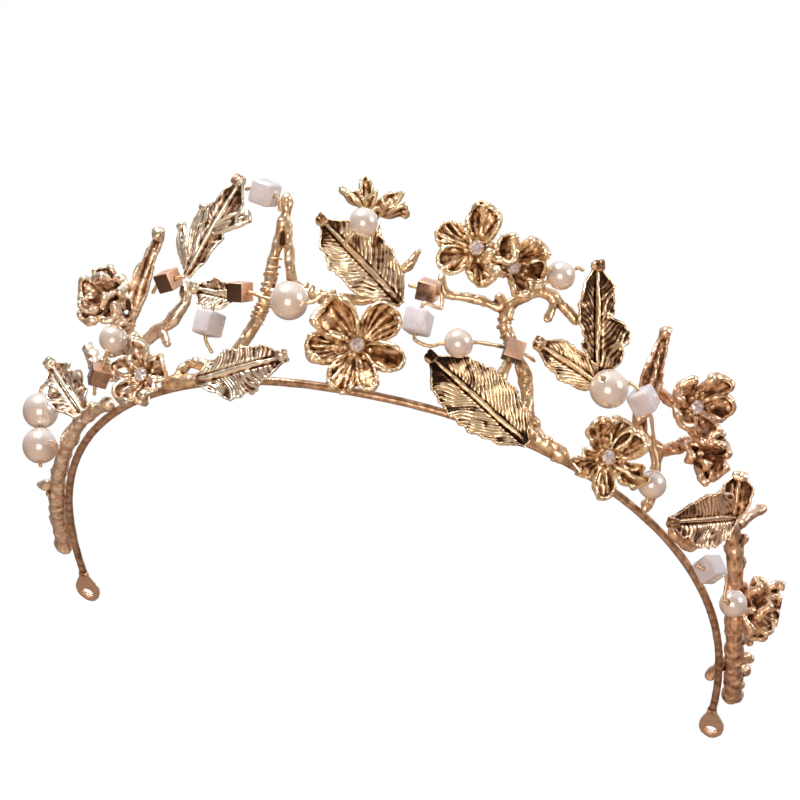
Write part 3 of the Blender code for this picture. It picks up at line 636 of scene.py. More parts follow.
def branches():
    leaf_left = leaf_sheet(
        (-57.4, 18.5, 2.5), (-49.8, 33.5, 3.6), [1.0, 2.6, 2.2, 1.4, 1.0], [1.0, 1.8, 1.6, 1.1, 0.9],
        roll=35, barb=0.0, fold=(0.5, 0.3), frill=0.2, knob=1.55, rib=0.35, thickness=0.8, seed=12,
    )
    leaf_right = leaf_sheet(
        (52.0, 14.4, 1.7), (48.6, 33.7, 3.0), [1.0, 2.4, 2.6, 1.6, 1.0], [1.0, 2.2, 2.2, 1.4, 1.0],
        roll=-20, barb=0.0, fold=(0.5, 0.4), frill=0.4, knob=1.35, rib=0.4, thickness=0.8, seed=13,
    )
    branch(
        "branch_left_end", STEM_PALE,
        [
            ([(-66, 0.5, 2.4), (-76, 1.5, 2.5), (-86, 2, 2.4), (-97, 1.6, 2.5), (-108, 1.2, 2.6),
              (-119, 1.2, 2.8), (-128, 1.4, 2.8), (-135, 1.6, 3.2)], 1.15, 1.7),
            ([(-108, 1.2, 2.8), (-110, 1.2, 6.2)], 1.0, 1.0),
            ([(-127, 1.4, 2.8), (-130, 4.4, 4.6)], 1.1, 1.0),
            ([(-119, 1.2, 3.0), (-131, 0.6, 2.6)], 0.9, 0.9),
        ],
        [((-110, 1.2, 6.4), 1.3), ((-112, 0.8, 4.4), 1.3), ((-130, 4.6, 4.8), 1.3), ((-136, 2.0, 4.2), 1.5),
         ((-72, 1.8, 2.8), 1.3), ((-80, 2.6, 3.0), 1.4), ((-103, 2.4, 3.0), 1.3), ((-122, 2.6, 3.6), 1.4)],
    )
    branch(
        "branch_left", STEM_PALE,
        [
            ([(-57, 0.0, 2.4), (-60, 4.5, 2.0), (-58, 9.8, 1.6), (-52.8, 12, 1.4), (-47.5, 14.2, 1.4),
              (-44.2, 17.4, 1.4), (-44.6, 21.5, 1.4)], 1.15, 0.95),
            ([(-50.5, 12.8, 1.4), (-47.5, 9.0, 1.8)], 0.85, 0.7),
            ([(-60, 4.5, 2.0), (-65, 6.5, 2.2), (-70, 9.5, 2.6), (-74, 15.5, 3.0)], 1.1, 1.0),
            ([(-58.6, 9.0, 1.7), (-61.0, 13, 1.6), (-59.6, 17.0, 1.8), (-55.6, 21.5, 2.4)], 1.05, 0.9),
        ],
        [((-74.2, 16.0, 3.0), 1.5), ((-71.2, 11.4, 3.2), 1.6), ((-69.6, 8.4, 2.9), 1.4),
         ((-72.8, 13.4, 3.0), 1.4), ((-66.0, 6.6, 2.6), 1.3), ((-62.0, 5.4, 2.6), 1.3),
         ((-59.0, 13.5, 2.2), 1.2), ((-58.4, 19.8, 3.0), 1.3), ((-55.4, 23.6, 3.4), 1.1),
         ((-60.4, 16.4, 4.4), 2.1), ((-59.0, 19.6, 4.6), 1.9), ((-57.2, 12.4, 2.8), 1.5),
         ((-62.8, 11.2, 3.0), 1.6), ((-61.2, 8.6, 2.6), 1.5), ((-66.4, 9.0, 3.6), 1.5)],
        [leaf_left],
    )
    branch(
        "branch_centre_left", STEM_GOLD,
        [
            ([(-46, -0.6, 2.7), (-38, -0.8, 2.7), (-32.1, 1.2, 2.0), (-29.5, 6.6, 1.4), (-26.8, 13, 1.2),
              (-25.7, 18.4, 1.2), (-25.2, 27, 1.4), (-24.2, 35.0, 1.6), (-24.6, 38.6, 1.8)], 1.25, 0.9),
            ([(-24.4, 34.0, 1.5), (-22.6, 27, 1.0), (-20.6, 20.8, 1.0), (-15, 18.0, 1.2), (-9.7, 18.2, 1.2),
              (-3.5, 19.6, 0.8), (0.2, 21.5, 0.8)], 0.95, 0.85),
            ([(-25.8, 17.0, 1.2), (-21.2, 20.2, 1.0)], 0.9, 0.9),
            ([(-30.5, 3.6, 1.7), (-37, 3.0, 1.4), (-42, 3.6, 1.4), (-43.5, -0.2, 2.6)], 0.8, 0.8),
            ([(-3.5, 19.6, 0.8), (-1.6, 24.5, 0.9), (0.9, 27.6, 1.2), (2.0, 30.4, 1.6)], 0.85, 0.65),
            ([(-3.2, 21.0, 0.8), (-5.4, 27, 0.8), (-6.2, 31.0, 1.2), (-6.9, 34.2, 1.6)], 0.8, 0.7),
        ],
        [((-40.0, 3.9, 1.5), 1.1), ((-12.5, 18.8, 1.5), 1.0), ((-25.9, 16.6, 1.6), 1.2),
         ((-31.0, 3.2, 2.0), 1.1)],
    )
    branch(
        "branch_centre_right", STEM_GOLD,
        [
            ([(40, -0.4, 2.4), (35, 0.4, 2.2), (31.4, 3.0, 1.6), (29.5, 8, 1.2), (27.2, 13.1, 0.8),
              (23.5, 17.5, 0.8), (20.8, 21.2, 0.8), (21.6, 26, 1.0), (25.0, 29.4, 1.6), (29, 28.8, 1.6),
              (33.0, 26.8, 1.4)], 1.25, 0.95),
            ([(28.4, 29.2, 1.6), (28, 24.2, 2.4)], 0.65, 0.75),
            ([(24.4, 16.6, 0.8), (23.4, 11.5, 0.6), (23.8, 7.0, 0.6)], 0.8, 0.7),
            ([(21.2, 23.5, 0.9), (15, 24.0, 0.8), (9.0, 23.6, 0.8), (7.4, 26.4, 1.2)], 0.8, 0.75),
            ([(20.6, 22.5, 0.9), (18.6, 25.8, 0.8)], 0.9, 0.9),
        ],
        [((28, 24.0, 2.4), 0.9), ((32.2, 3.6, 1.9), 1.4), ((36, 0.6, 2.6), 1.2), ((27.6, 12.4, 1.0), 1.1)],
    )
    branch(
        "branch_right", STEM_BROWN,
        [
            ([(51.6, 16.0, 1.6), (52.4, 13.2, 1.6), (55.2, 12.0, 1.6), (59, 12.6, 1.6), (62.2, 15, 1.6),
              (63.8, 17.6, 1.6)], 1.1, 1.1),
            ([(57.8, 12.4, 1.6), (60, 9, 1.5), (60.3, 6.0, 1.5), (62.2, 3, 1.8), (61.5, 0.2, 2.4)],
             0.95, 0.95),
            ([(53.2, 13.6, 1.6), (52.2, 17.5, 1.2), (51.0, 21.0, 1.9), (54, 22.2, 1.5), (57, 22.4, 1.0)],
             0.9, 0.95),
        ],
        [((60.4, 7.4, 1.6), 1.2), ((55.6, 12.4, 1.8), 1.2), ((63.0, 16.6, 2.0), 1.3),
         ((62.0, 3.2, 2.2), 1.2)],
        [leaf_right],
    )
    branch(
        "branch_right_end", STEM_BROWN,
        [
            ([(83, 12.5, 1.2), (88, 12.8, 1.4), (93, 10.0, 1.8), (99, 6.6, 2.2), (105, 3.8, 2.6),
              (112, 1.6, 2.8), (121, 0.8, 3.0), (130, 1.0, 3.0), (138, 1.6, 2.9)], 1.5, 1.6),
            ([(88, 12.8, 1.4), (90, 18, 1.8), (92.4, 21.6, 1.8)], 0.95, 0.85),
            ([(71, 0.3, 2.4), (78, 2.0, 2.2), (82, 8, 1.5), (86.5, 12.8, 1.3)], 1.1, 1.1),
            ([(112, 1.6, 2.8), (117, 4.6, 3.4)], 1.2, 1.2),
            ([(121, 0.8, 3.0), (125, 3.2, 0.6), (131, 1.7, -2.6)], 0.9, 1.1),
        ],
        [((92.6, 22.2, 1.8), 1.2), ((128, 3.4, 4.2), 1.7), ((139.4, 2.4, 3.6), 1.5), ((96, 10.4, 2.2), 1.6),
         ((117.4, 5.2, 3.6), 1.7), ((101, 6.8, 3.0), 1.6), ((91, 12.6, 2.2), 1.6), ((122, 2.6, 4.2), 1.8),
         ((109, 3.6, 3.4), 1.7), ((133, 2.2, 4.0), 1.5), ((74, 1.2, 2.6), 1.2)],
    )


# Leaves

CURL_STARTS = 0.78
LEAF_CURL = 230


def width_at(widths, t):
    """Half width at t from base to tip, eased between the given ones."""
    place = min(max(t, 0), 1) * (len(widths) - 1)
    i = min(int(place), len(widths) - 2)
    part = place - i
    return widths[i] + (widths[i + 1] - widths[i]) * part * part * (3 - 2 * part)


def comb(phase):
    """A ridge at every whole number, 1 on the ridge and 0 half way between."""
    return abs(2 * (phase % 1.0) - 1)


def bump(distance, breadth):
    return math.exp(-((distance / breadth) ** 2))


def leaf_relief(along, away, half, t, left, look):
    """How far a leaf's face stands up, in mm: midrib and its grooves, barbs, folds and frilled rim."""
    seed = look["seed"] * 7.3 + (3.1 if left else 0)
    side = away / half
    drift = noise.noise(Vector((along * 0.22, away * 0.22, seed)))
    reach = look["sweep"] * away - 0.028 * away * away
    phase = (along - reach) / look["pitch"] + drift * 1.7
    strength = 0.7 + 0.9 * noise.noise(Vector((phase * 0.5, side * 0.8, seed)))
    barbs = (comb(phase) - 0.5) * strength + (comb(phase * 2 + 0.3) - 0.5) * 0.35
    fade = min(math.sin(math.pi * min(t * 1.04 + 0.02, 1)) * 1.6, 1.0)
    rise = look["fold"][0 if left else 1] * away
    rise += look["barb"] * barbs * fade * min(side * 4, 1)
    rise += look["rib"] * bump(away, 0.36 * (1.3 - 0.7 * t))
    rise -= (0.7 if left else 0.35) * bump(away - 0.75, 0.32) * fade
    rise += look["frill"] * side**2 * noise.noise(Vector((along * 0.33, side, seed + 5))) * fade
    rise += 0.45 * noise.noise(Vector((along * 0.16, away * 0.3, seed + 9))) * fade
    rise += 0.22 * bump((1 - side) * half, 0.3)
    return rise


def leaf_point(u, w, length, left, right, look):
    """A point of a leaf, from its base at u = 0 to the end of its curled tip, w from edge to edge."""
    widths = left if w > 0 else right
    side = abs(w)
    t = min(u / CURL_STARTS, 1.0)
    half = width_at(widths, t)
    curl = look["curl"]
    along = t * (length - curl)
    if u < CURL_STARTS:
        tooth = comb((along - look["sweep"] * half) / look["pitch"] / 2.2 + (0.4 if w > 0 else 0))
        ragged = noise.noise(Vector((along * 0.5, 3.0 if w > 0 else 0.0, look["seed"] * 2.7)))
        uneven = (0.42 * (tooth - 0.5) + 0.8 * ragged) * min(look["frill"], 1)
        half += uneven * side**2 * min(half / 3, 1) * math.sin(math.pi * t)
        for notch_side, place, depth in look["notches"]:
            if (notch_side == "left") == (w > 0):
                half *= 1 - depth * bump(t - place, 0.035) * side
        rise = leaf_relief(along, side * half, half, t, w > 0, look)
        return Vector((along, w * half, look["arch"] * math.sin(math.pi * t) + rise)) * MM
    bend = (u - CURL_STARTS) / (1 - CURL_STARTS) * math.radians(LEAF_CURL)
    half = max(half - (u - CURL_STARTS) * 1.2, curl * 0.45)
    rise = look["rib"] * bump(side * half, 0.25) * (1 - bend / 4.2)
    rise += look["fold"][0 if w > 0 else 1] * side * half
    reach = curl - rise
    return Vector((along + reach * math.sin(bend), w * half, curl - reach * math.cos(bend))) * MM


LEAF_LOOK = {
    "arch": 0.6, "rib": 0.6, "barb": 0.26, "pitch": 1.0, "sweep": 1.05, "fold": (0.30, 0.12), "frill": 0.9,
    "notches": (), "curl": 1.2, "knob": 1.4, "seed": 1,
}


def leaf_sheet(base, tip, left, right, roll=0, thickness=0.55, **changes):
    """A leaf from base to tip, both (station, height, out), with half widths on its left and right."""
    look = {**LEAF_LOOK, **changes}
    start = spot(*base)
    end = spot(*tip)
    ahead = (end - start).normalized()
    normal, _ = outward((base[0] + tip[0]) / 2)
    face = normal * math.cos(math.radians(FLARE)) - Vector((0, 0, math.sin(math.radians(FLARE))))
    face = (face - ahead * face.dot(ahead)).normalized()
    face = Matrix.Rotation(math.radians(roll), 3, ahead) @ face
    side = face.cross(ahead)
    matrix = Matrix.Translation(start) @ Matrix((ahead, side, face)).transposed().to_4x4()
    length = (end - start).length / MM
    fineness = 9
    shape = bmesh.new()
    across = int((max(left) + max(right)) * fineness)
    bmesh.ops.create_grid(shape, x_segments=int(length * fineness), y_segments=across, size=1)
    for vert in shape.verts:
        vert.co = leaf_point((vert.co.x + 1) / 2, vert.co.y, length, left, right, look)
    shape = thickened(shape, thickness * MM)
    curl = look["curl"]
    add_knob(shape, Vector((length - curl, 0.2, curl * 0.8)) * MM, look["knob"] * MM, 1.15, look["seed"])
    bmesh.ops.transform(shape, matrix=matrix, verts=shape.verts)
    return shape


def leaf(name, material, sheets):
    shape = bmesh.new()
    for sheet in sheets:
        gather(shape, sheet)
    smooth(shape)
    roughen(shape, [(0.10, 0.8), (0.02, 2.5)])
    return finished("cast_" + name, shape, material, [name], proud=0.0005, level=True)


def leaves():
    """Half widths run from base to tip, left side first as seen with the tip up."""
    leaf("leaf_left_end", LEAF_PALE, [leaf_sheet(
        (-72.6, -0.4, 4.9), (-84.2, 15.4, 8.1), [2.2, 4.2, 4.8, 3.4, 1.2], [2.0, 4.0, 5.0, 3.6, 1.2],
        roll=30, barb=0.10, pitch=2.2, sweep=2.0, frill=1.6,
        notches=(("left", 0.7, 0.3), ("right", 0.62, 0.3)), seed=2)])
    leaf("leaf_left_tall", LEAF_PALE, [
        leaf_sheet(
            (-43.0, 21.8, 3.2), (-32.4, 41.6, 4.2), [0.9, 1.5, 1.8, 2.2, 2.8, 2.0, 1.1],
            [0.9, 1.8, 3.2, 3.2, 4.8, 3.8, 1.1], roll=9, barb=0.12, pitch=1.6, sweep=2.4, frill=1.5,
            notches=(("right", 0.55, 0.35),), seed=3),
        finger((-42.8, 23.0, 3.4), (-44.4, 33.2, 4.0), 1.25, 21),
        finger((-42.0, 24.5, 3.5), (-39.2, 36.2, 4.3), 1.5, 22),
        finger((-37.6, 30.5, 4.0), (-30.4, 33.6, 3.0), 1.7, 23),
    ])
    leaf("leaf_left_small", LEAF_PALE, [leaf_sheet(
        (-31.4, 16.6, 2.2), (-41.4, 19.3, 3.0), [0.8, 3.4, 4.2, 3.4, 1.0], [0.8, 2.4, 2.8, 2.2, 1.0],
        barb=0.30, pitch=1.3, sweep=0.2, frill=1.5, seed=4)])
    leaf("leaf_centre_left", LEAF_PALE, [leaf_sheet(
        (-37.6, -2.2, 4.4), (-17.4, 3.0, 4.9), [0.9, 3.0, 4.6, 4.0, 3.4, 1.1], [0.9, 3.6, 6.2, 5.8, 3.4, 1.1],
        barb=0.4, pitch=1.1, sweep=0.9, frill=1.4, fold=(0.2, -0.05), seed=5)])
    leaf("leaf_centre", LEAF_GOLD, [leaf_sheet(
        (1.6, 18.2, 3.0), (-16.8, 32.8, 4.6), [0.9, 4.0, 5.6, 5.6, 4.4, 1.1], [0.9, 4.6, 6.2, 6.6, 4.6, 1.1],
        barb=0.4, pitch=1.15, sweep=1.2, fold=(0.42, 0.02), frill=1.2, seed=6)])
    leaf("leaf_centre_right", LEAF_DEEP, [leaf_sheet(
        (32.0, -2.4, 4.2), (8.6, 9.0, 3.6), [0.9, 4.6, 6.6, 6.8, 5.4, 1.1], [0.9, 5.4, 6.8, 6.6, 5.0, 1.1],
        barb=0.5, pitch=1.05, sweep=1.35, fold=(0.32, 0.06), seed=7)])
    leaf("leaf_pair_right", LEAF_DEEP, [
        leaf_sheet(
            (40.2, 16.0, 3.4), (32.4, 38.4, 4.2),
            [0.9, 2.6, 4.4, 4.6, 3.6, 1.1], [0.9, 5.4, 7.2, 4.4, 3.8, 1.1],
            barb=0.20, pitch=1.5, sweep=1.5, fold=(0.40, 0.05), frill=1.3,
            notches=(("right", 0.56, 0.45), ("right", 0.3, 0.2), ("left", 0.36, 0.25)), seed=8),
        leaf_sheet(
            (41.4, 15.6, 3.6), (26.6, 17.8, 4.2), [0.9, 3.4, 4.4, 3.6, 1.3], [0.9, 3.0, 3.8, 3.4, 1.3],
            barb=0.5, pitch=1.25, sweep=1.8, fold=(0.45, 0.1), frill=1.6, seed=9),
    ])
    leaf("leaf_pair_right_end", LEAF_BROWN, [
        leaf_sheet(
            (83.5, 13.4, 4.0), (66.0, -0.6, 4.4),
            [0.9, 4.6, 6.2, 5.6, 3.6, 1.1], [0.9, 5.0, 6.6, 5.6, 3.6, 1.1],
            barb=0.44, pitch=1.1, sweep=0.6, fold=(0.2, 0.3), frill=1.3, seed=10),
        leaf_sheet(
            (82.6, 12.2, 4.0), (78.2, 20.8, 3.4), [1.2, 2.6, 3.2, 3.2, 1.6], [1.2, 2.6, 3.2, 3.2, 1.6],
            roll=-45, barb=0.03, fold=(0.35, 0.35), frill=0.4, seed=11),
    ])


def finger(base, tip, half, seed):
    """A smooth narrow lobe with a rounded end."""
    widths = [half * 0.5, half * 0.85, half, half, half * 0.75]
    plain = {"barb": 0.0, "fold": (0.3, 0.3), "frill": 0.1, "rib": 0.2, "thickness": 0.9}
    plain.update({"curl": 0.6, "knob": half * 0.62})
    return leaf_sheet(base, tip, widths, widths, seed=seed, **plain)


# Flowers and their stones

PETAL_LOOK = {
    "reach": 1.0, "breadth": 0.5, "bowl": 0.3, "cup": 0.12, "ruffle": 0.09, "waves": 3.0, "pleat": 0.42,
    "pleats": 2.2, "roll": 0.5, "thick": 0.52, "lift": 0.0, "knobs": 0,
}
ROLL_STARTS = 0.84
PETAL_CURL = 235


def petal_point(s, t, radius, look, shift):
    """A point of a petal that lies out along X: fan pleats from its foot, a ruffled edge and a rolled rim."""
    across = s * math.sqrt(1 - t * t / 2)
    along = t * math.sqrt(1 - s * s / 2)
    rim = min(math.hypot(across, along), 1.0)
    turn = math.atan2(across, along)
    inside = min(rim, ROLL_STARTS) / max(rim, 1e-6)
    across *= inside
    along *= inside
    out = (along + ROLL_STARTS) / (2 * ROLL_STARTS)
    roll = look["roll"] * (0.55 + 0.75 * noise.noise(Vector((turn * 0.9, shift, 4.0)))) * min(out * 2.5, 1)
    reach = radius * look["reach"] - 1.1 - max(roll, 0)
    width = radius * look["breadth"] * (0.42 + 0.58 * out**0.8)
    fan = across / (0.3 + 0.9 * out)
    rise = 0.35 + look["lift"] + look["bowl"] * radius * out**1.7
    rise += look["cup"] * radius * across**2 * (0.4 + out)
    edge = (min(rim, ROLL_STARTS) / ROLL_STARTS) ** 2.5
    rise += look["ruffle"] * radius * edge * math.sin(look["waves"] * turn + shift) * out
    drift = 0.5 * noise.noise(Vector((across * 1.4, out * 1.2, shift)))
    rise += look["pleat"] * (comb(fan * look["pleats"] + drift + shift) - 0.5) * min(out * 2, 1)
    rise += 0.13 * (comb(fan * look["pleats"] * 3.3 + drift) - 0.5) * min(out * 2, 1)
    rise += 1.5 * noise.noise(Vector((across * 1.5, out * 1.6, shift + 2))) * min(out * 1.6, 1)
    length = 1.1 + reach * out
    side = across * width
    bend = max((rim - ROLL_STARTS) / (1 - ROLL_STARTS), 0) * math.radians(PETAL_CURL)
    length += abs(roll) * math.sin(bend) * math.cos(turn)
    side += abs(roll) * math.sin(bend) * math.sin(turn)
    rise += roll * (1 - math.cos(bend))
    return Vector((length, side, rise)) * MM


def add_petal(shape, angle, radius, look, chance):
    """One petal of the flower, with a few knobs on its rim when asked for."""
    shift = chance.uniform(0, 6.28)
    fineness = 52
    sheet = bmesh.new()
    bmesh.ops.create_grid(sheet, x_segments=fineness, y_segments=fineness, size=1)
    for vert in sheet.verts:
        vert.co = petal_point(vert.co.x, vert.co.y, radius, look, shift)
    matrix = Matrix.Rotation(angle, 4, "Z") @ Matrix.Rotation(chance.uniform(-0.32, 0.32), 4, "X")
    sheet = thickened(sheet, look["thick"] * MM)
    for i in range(look["knobs"]):
        side = (i + 0.5) / look["knobs"] * 2 - 1
        place = petal_point(side * 0.6, 0.72, radius, look, shift)
        add_knob(sheet, place, chance.uniform(0.6, 0.95) * MM, 0.85, i + shift)
    bmesh.ops.transform(sheet, matrix=matrix, verts=sheet.verts)
    gather(shape, sheet)


def add_stamens(shape, count, ring, height, chance):
    for i in range(count):
        angle = (i + chance.uniform(-0.3, 0.3)) * 2 * math.pi / count
        lean = ring * chance.uniform(0.9, 1.25)
        top = height * chance.uniform(0.7, 1.2)
        foot = Vector((math.cos(angle) * ring * 0.72, math.sin(angle) * ring * 0.72, 0.2)) * MM
        head = Vector((math.cos(angle) * lean, math.sin(angle) * lean, top)) * MM
        add_strut(shape, foot, head, 0.24 * MM)
        add_knob(shape, head, chance.uniform(0.44, 0.54) * MM, 1.0, i)


def bloom(matrix, radius, petals, seed):
    """A whole flower as one cast bmesh, its face along the matrix's Z; petals are (angle, changes)."""
    chance = random.Random(seed)
    shape = bmesh.new()
    for angle, changes in petals:
        add_petal(shape, math.radians(angle), radius, dict(PETAL_LOOK, **changes), chance)
    bmesh.ops.create_cone(
        shape, cap_ends=True, segments=24, radius1=1.7 * MM, radius2=2.0 * MM, depth=0.8 * MM,
        matrix=Matrix.Translation((0, 0, -0.1 * MM)),
    )
    shape = poured(shape, FINE * 1.2, 1)
    roughen(shape, [(0.2, 0.7), (0.05, 1.8)])
    bmesh.ops.transform(shape, matrix=matrix, verts=shape.verts)
    return shape


SEATS = {
    "low_left": facing(-50.8, 0.9, 4.6, turn=14, spin=10),
    "front": facing(-4.8, 7.6, 3.6, turn=2, spin=27),
    "low_right": facing(47.2, 2.5, 4.6, spin=34),
    "top": facing(12.6, 31.4, 5.6, turn=-4, tilt=4, spin=8),
    "top_under": facing(19.0, 30.8, 4.0, turn=12),
    "right": facing(60.2, 23.0, 3.4, turn=-6, spin=30),
}


def petal(angle, **changes):
    return angle, changes


def flower(name, material, blooms):
    shape = bmesh.new()
    for i, (matrix, radius, petals) in enumerate(blooms):
        gather(shape, bloom(matrix, radius, petals, len(name) * 3 + i))
    return finished("cast_" + name, shape, material, [name], proud=0.0006)


def cluster(count, bowl, inner=0, **changes):
    """Petals evenly round a small knobbly flower, with an upright inner ring of them when asked for."""
    changes = {"thick": 0.95, "pleat": 0.12, "roll": 0.8, "knobs": 3, **changes}
    outer = [(i * 360 / count, dict(changes, bowl=bowl * (0.75 + 0.5 * (i % 2)))) for i in range(count)]
    upright = {"reach": 0.62, "bowl": bowl + 0.35, "breadth": 0.42, "cup": 0.2}
    return outer + [((i + 0.5) * 360 / inner, dict(changes, **upright)) for i in range(inner)]


def flowers():
    left = facing(-61.8, 20.6, 5.5, turn=22, spin=20)
    top = facing(-8.6, 37.0, 0.6, heel=-14, tilt=62, spin=18)
    right_end = facing(105.6, 6.4, 4.3, turn=-12, spin=20)
    right_low = facing(66.2, 15.2, 4.4, turn=-10, spin=50)
    flower("flower_left", PETAL_PALE, [(left, 6.6, cluster(5, 0.45, 3, ruffle=0.1, cup=0.25))])
    low_left = cluster(5, 0.38, 0, ruffle=0.14, knobs=1, thick=0.7)
    top_under = cluster(5, 0.5, 0, roll=1.1, cup=0.4, ruffle=0.12, pleat=0.2, thick=0.6, knobs=0)
    flower("flower_low_left", PETAL_PALE, [(SEATS["low_left"], 7.1, low_left)])
    flower("flower_top", PETAL_GOLD, [(top, 7.7, [
        petal(-18, breadth=0.42, knobs=3, cup=0.3), petal(172, breadth=0.40, knobs=2, cup=0.3),
        petal(62, breadth=0.26, reach=0.8, bowl=0.5), petal(118, breadth=0.22, reach=0.8, bowl=0.6),
        petal(250, breadth=0.24, reach=0.8, bowl=0.65), petal(300, breadth=0.22, reach=0.75, bowl=0.7),
    ])])
    flower("flower_front", PETAL_GOLD, [(SEATS["front"], 10.6, [
        petal(328, breadth=0.36, bowl=0.16, cup=0.35, ruffle=0.04, pleat=0.1, roll=0.6, waves=2),
        petal(32, breadth=0.5, bowl=0.30, ruffle=0.08, pleat=0.7, pleats=2.6, knobs=3),
        petal(108, breadth=0.56, bowl=0.36, cup=0.3, ruffle=0.16, waves=3, pleat=0.3, roll=1.0),
        petal(170, breadth=0.42, bowl=0.20, ruffle=0.12, waves=4, pleat=0.8, pleats=3, roll=1.1),
        petal(236, breadth=0.44, bowl=0.22, ruffle=0.16, waves=5, pleat=0.8, pleats=2.6),
        petal(279, breadth=0.28, bowl=0.30, ruffle=0.06, pleat=0.4, pleats=4, knobs=1),
    ])])
    flower("flower_low_right", PETAL_GOLD, [(SEATS["low_right"], 8.8, [
        petal(18, breadth=0.44, bowl=0.32, roll=1.0, pleat=0.3, reach=0.95),
        petal(58, breadth=0.46, bowl=0.18, roll=1.0, cup=0.3, lift=-0.6),
        petal(104, breadth=0.44, bowl=0.5, ruffle=0.18, waves=5, knobs=3),
        petal(176, breadth=0.48, bowl=0.42, ruffle=0.18, waves=6, pleat=0.6, knobs=2),
        petal(254, breadth=0.36, bowl=0.12, ruffle=0.04, pleat=0.5, pleats=1.6, cup=0.2),
        petal(310, breadth=0.44, bowl=0.34, ruffle=0.18, waves=6, knobs=2),
    ])])
    flower("flower_right_end", PETAL_BROWN, [(right_end, 7.2, cluster(5, 0.4, 3, ruffle=0.1, cup=0.25))])
    flower("flower_pair_top", PETAL_GOLD, [
        (SEATS["top"], 8.7, [
            petal(162, breadth=0.5, bowl=0.28, pleat=0.95, pleats=2.4, ruffle=0.05),
            petal(214, breadth=0.46, bowl=0.16, cup=0.3, pleat=0.3, ruffle=0.05),
            petal(72, breadth=0.62, bowl=0.40, pleat=0.5, knobs=3, roll=0.9),
            petal(344, breadth=0.5, bowl=0.30, cup=0.35, pleat=0.2, roll=1.1, ruffle=0.05),
            petal(284, breadth=0.46, bowl=0.04, cup=0.2, roll=0.8, lift=-0.4, reach=0.92),
        ]),
        (SEATS["top_under"], 6.7, top_under),
    ])
    flower("flower_pair_right", PETAL_BROWN, [
        (SEATS["right"], 7.5, cluster(5, 0.45, 0, ruffle=0.1, cup=0.3)),
        (right_low, 5.5, cluster(5, 0.45, 3, ruffle=0.1, cup=0.3)),
    ])


def add_claws(shape, radius):
    """The cup a stone sits in, with four little claws that hold it."""
    foot = CUP_FOOT * SCALE
    bmesh.ops.create_cone(
        shape, cap_ends=True, segments=20, radius1=radius * 0.62, radius2=radius * 1.08, depth=radius * 0.7,
        matrix=Matrix.Translation((0, 0, foot + radius * 0.2)),
    )
    for i in range(4):
        angle = math.tau * (i + 0.5) / 4
        out = Vector((math.cos(angle), math.sin(angle), 0)) * radius
        low, high = Vector((0, 0, foot + radius * 0.3)), Vector((0, 0, foot + radius * 0.95))
        add_strut(shape, out * 1.02 + low, out * 0.92 + high, 0.2 * MM)


def brilliant(radius):
    """A round cut stone: an eight-sided table, a crown, a girdle and a point."""
    foot = CUP_FOOT * SCALE
    shape = bmesh.new()
    bmesh.ops.create_circle(shape, segments=8, radius=radius * 0.55, cap_ends=True)
    bmesh.ops.translate(shape, vec=(0, 0, foot + radius * 1.05), verts=shape.verts)
    rim = list(shape.edges)
    for size, height, twist in ((1.0, 0.72, 22.5), (1.0, 0.64, 0), (0.3, 0.02, 22.5)):
        verts, rim = next_ring(shape, rim)
        now = max(math.hypot(vert.co.x, vert.co.y) for vert in verts)
        grow = Matrix.Diagonal((radius * size / now, radius * size / now, 1, 1))
        spin = Matrix.Rotation(math.radians(twist), 4, "Z")
        bmesh.ops.transform(shape, matrix=spin @ grow, verts=verts)
        for vert in verts:
            vert.co.z = foot + radius * height
    bmesh.ops.holes_fill(shape, edges=rim, sides=0)
    bmesh.ops.triangulate(shape, faces=shape.faces)
    bmesh.ops.recalc_face_normals(shape, faces=shape.faces)
    return shape


def stones():
    """Round brilliants, each in a little cup with a ring of stamens round it."""
    radius = STONE / 2 * SCALE * STONE_SHOWS
    for seat, matrix in SEATS.items():
        shape = brilliant(radius)
        bmesh.ops.transform(shape, matrix=matrix, verts=shape.verts)
        stone = "stone_" + seat
        finished("cut_" + stone, shape, CLEAR, [stone], smooth=False, proud=None)
        ring = bmesh.new()
        add_stamens(ring, 10, 2.6, 2.3, random.Random(len(seat)))
        add_claws(ring, radius)
        bmesh.ops.transform(ring, matrix=matrix, verts=ring.verts)
        finished("stamens_" + seat, ring, WIRE_GOLD, proud=None)


# Beads and the wires they are strung on

# The way the metal cubes' copper faces turn: up, to the front and to the right
COPPER_SIDE = Vector((0.5, -0.7, 0.5))
DIP = 0.00022
TURN_STEPS = 14


class Bead:
    """A bead's kind, its place, its hole's axis and its spin, as the frame has them."""

    SIZES = {"large": LARGE_PEARL, "small": SMALL_PEARL, "opal": OPAL_CUBE, "metal": METAL_CUBE}

    def __init__(self, name, kind, spin=0):
        joint = BEAD_JOINTS[name]
        self.name = name
        self.kind = kind
        self.size = self.SIZES[kind] * SCALE
        self.centre = Vector(joint["pos_m"])
        self.hole = Vector(joint["axis"]).normalized()
        turn = Vector((0, 0, 1)).rotation_difference(self.hole).to_matrix()
        turn @= Matrix.Rotation(math.radians(spin), 3, "Z")
        self.frame = Matrix.Translation(self.centre) @ turn.to_4x4()

    def build(self):
        if self.kind in ("large", "small"):
            return pearl(self)
        return cube(self)


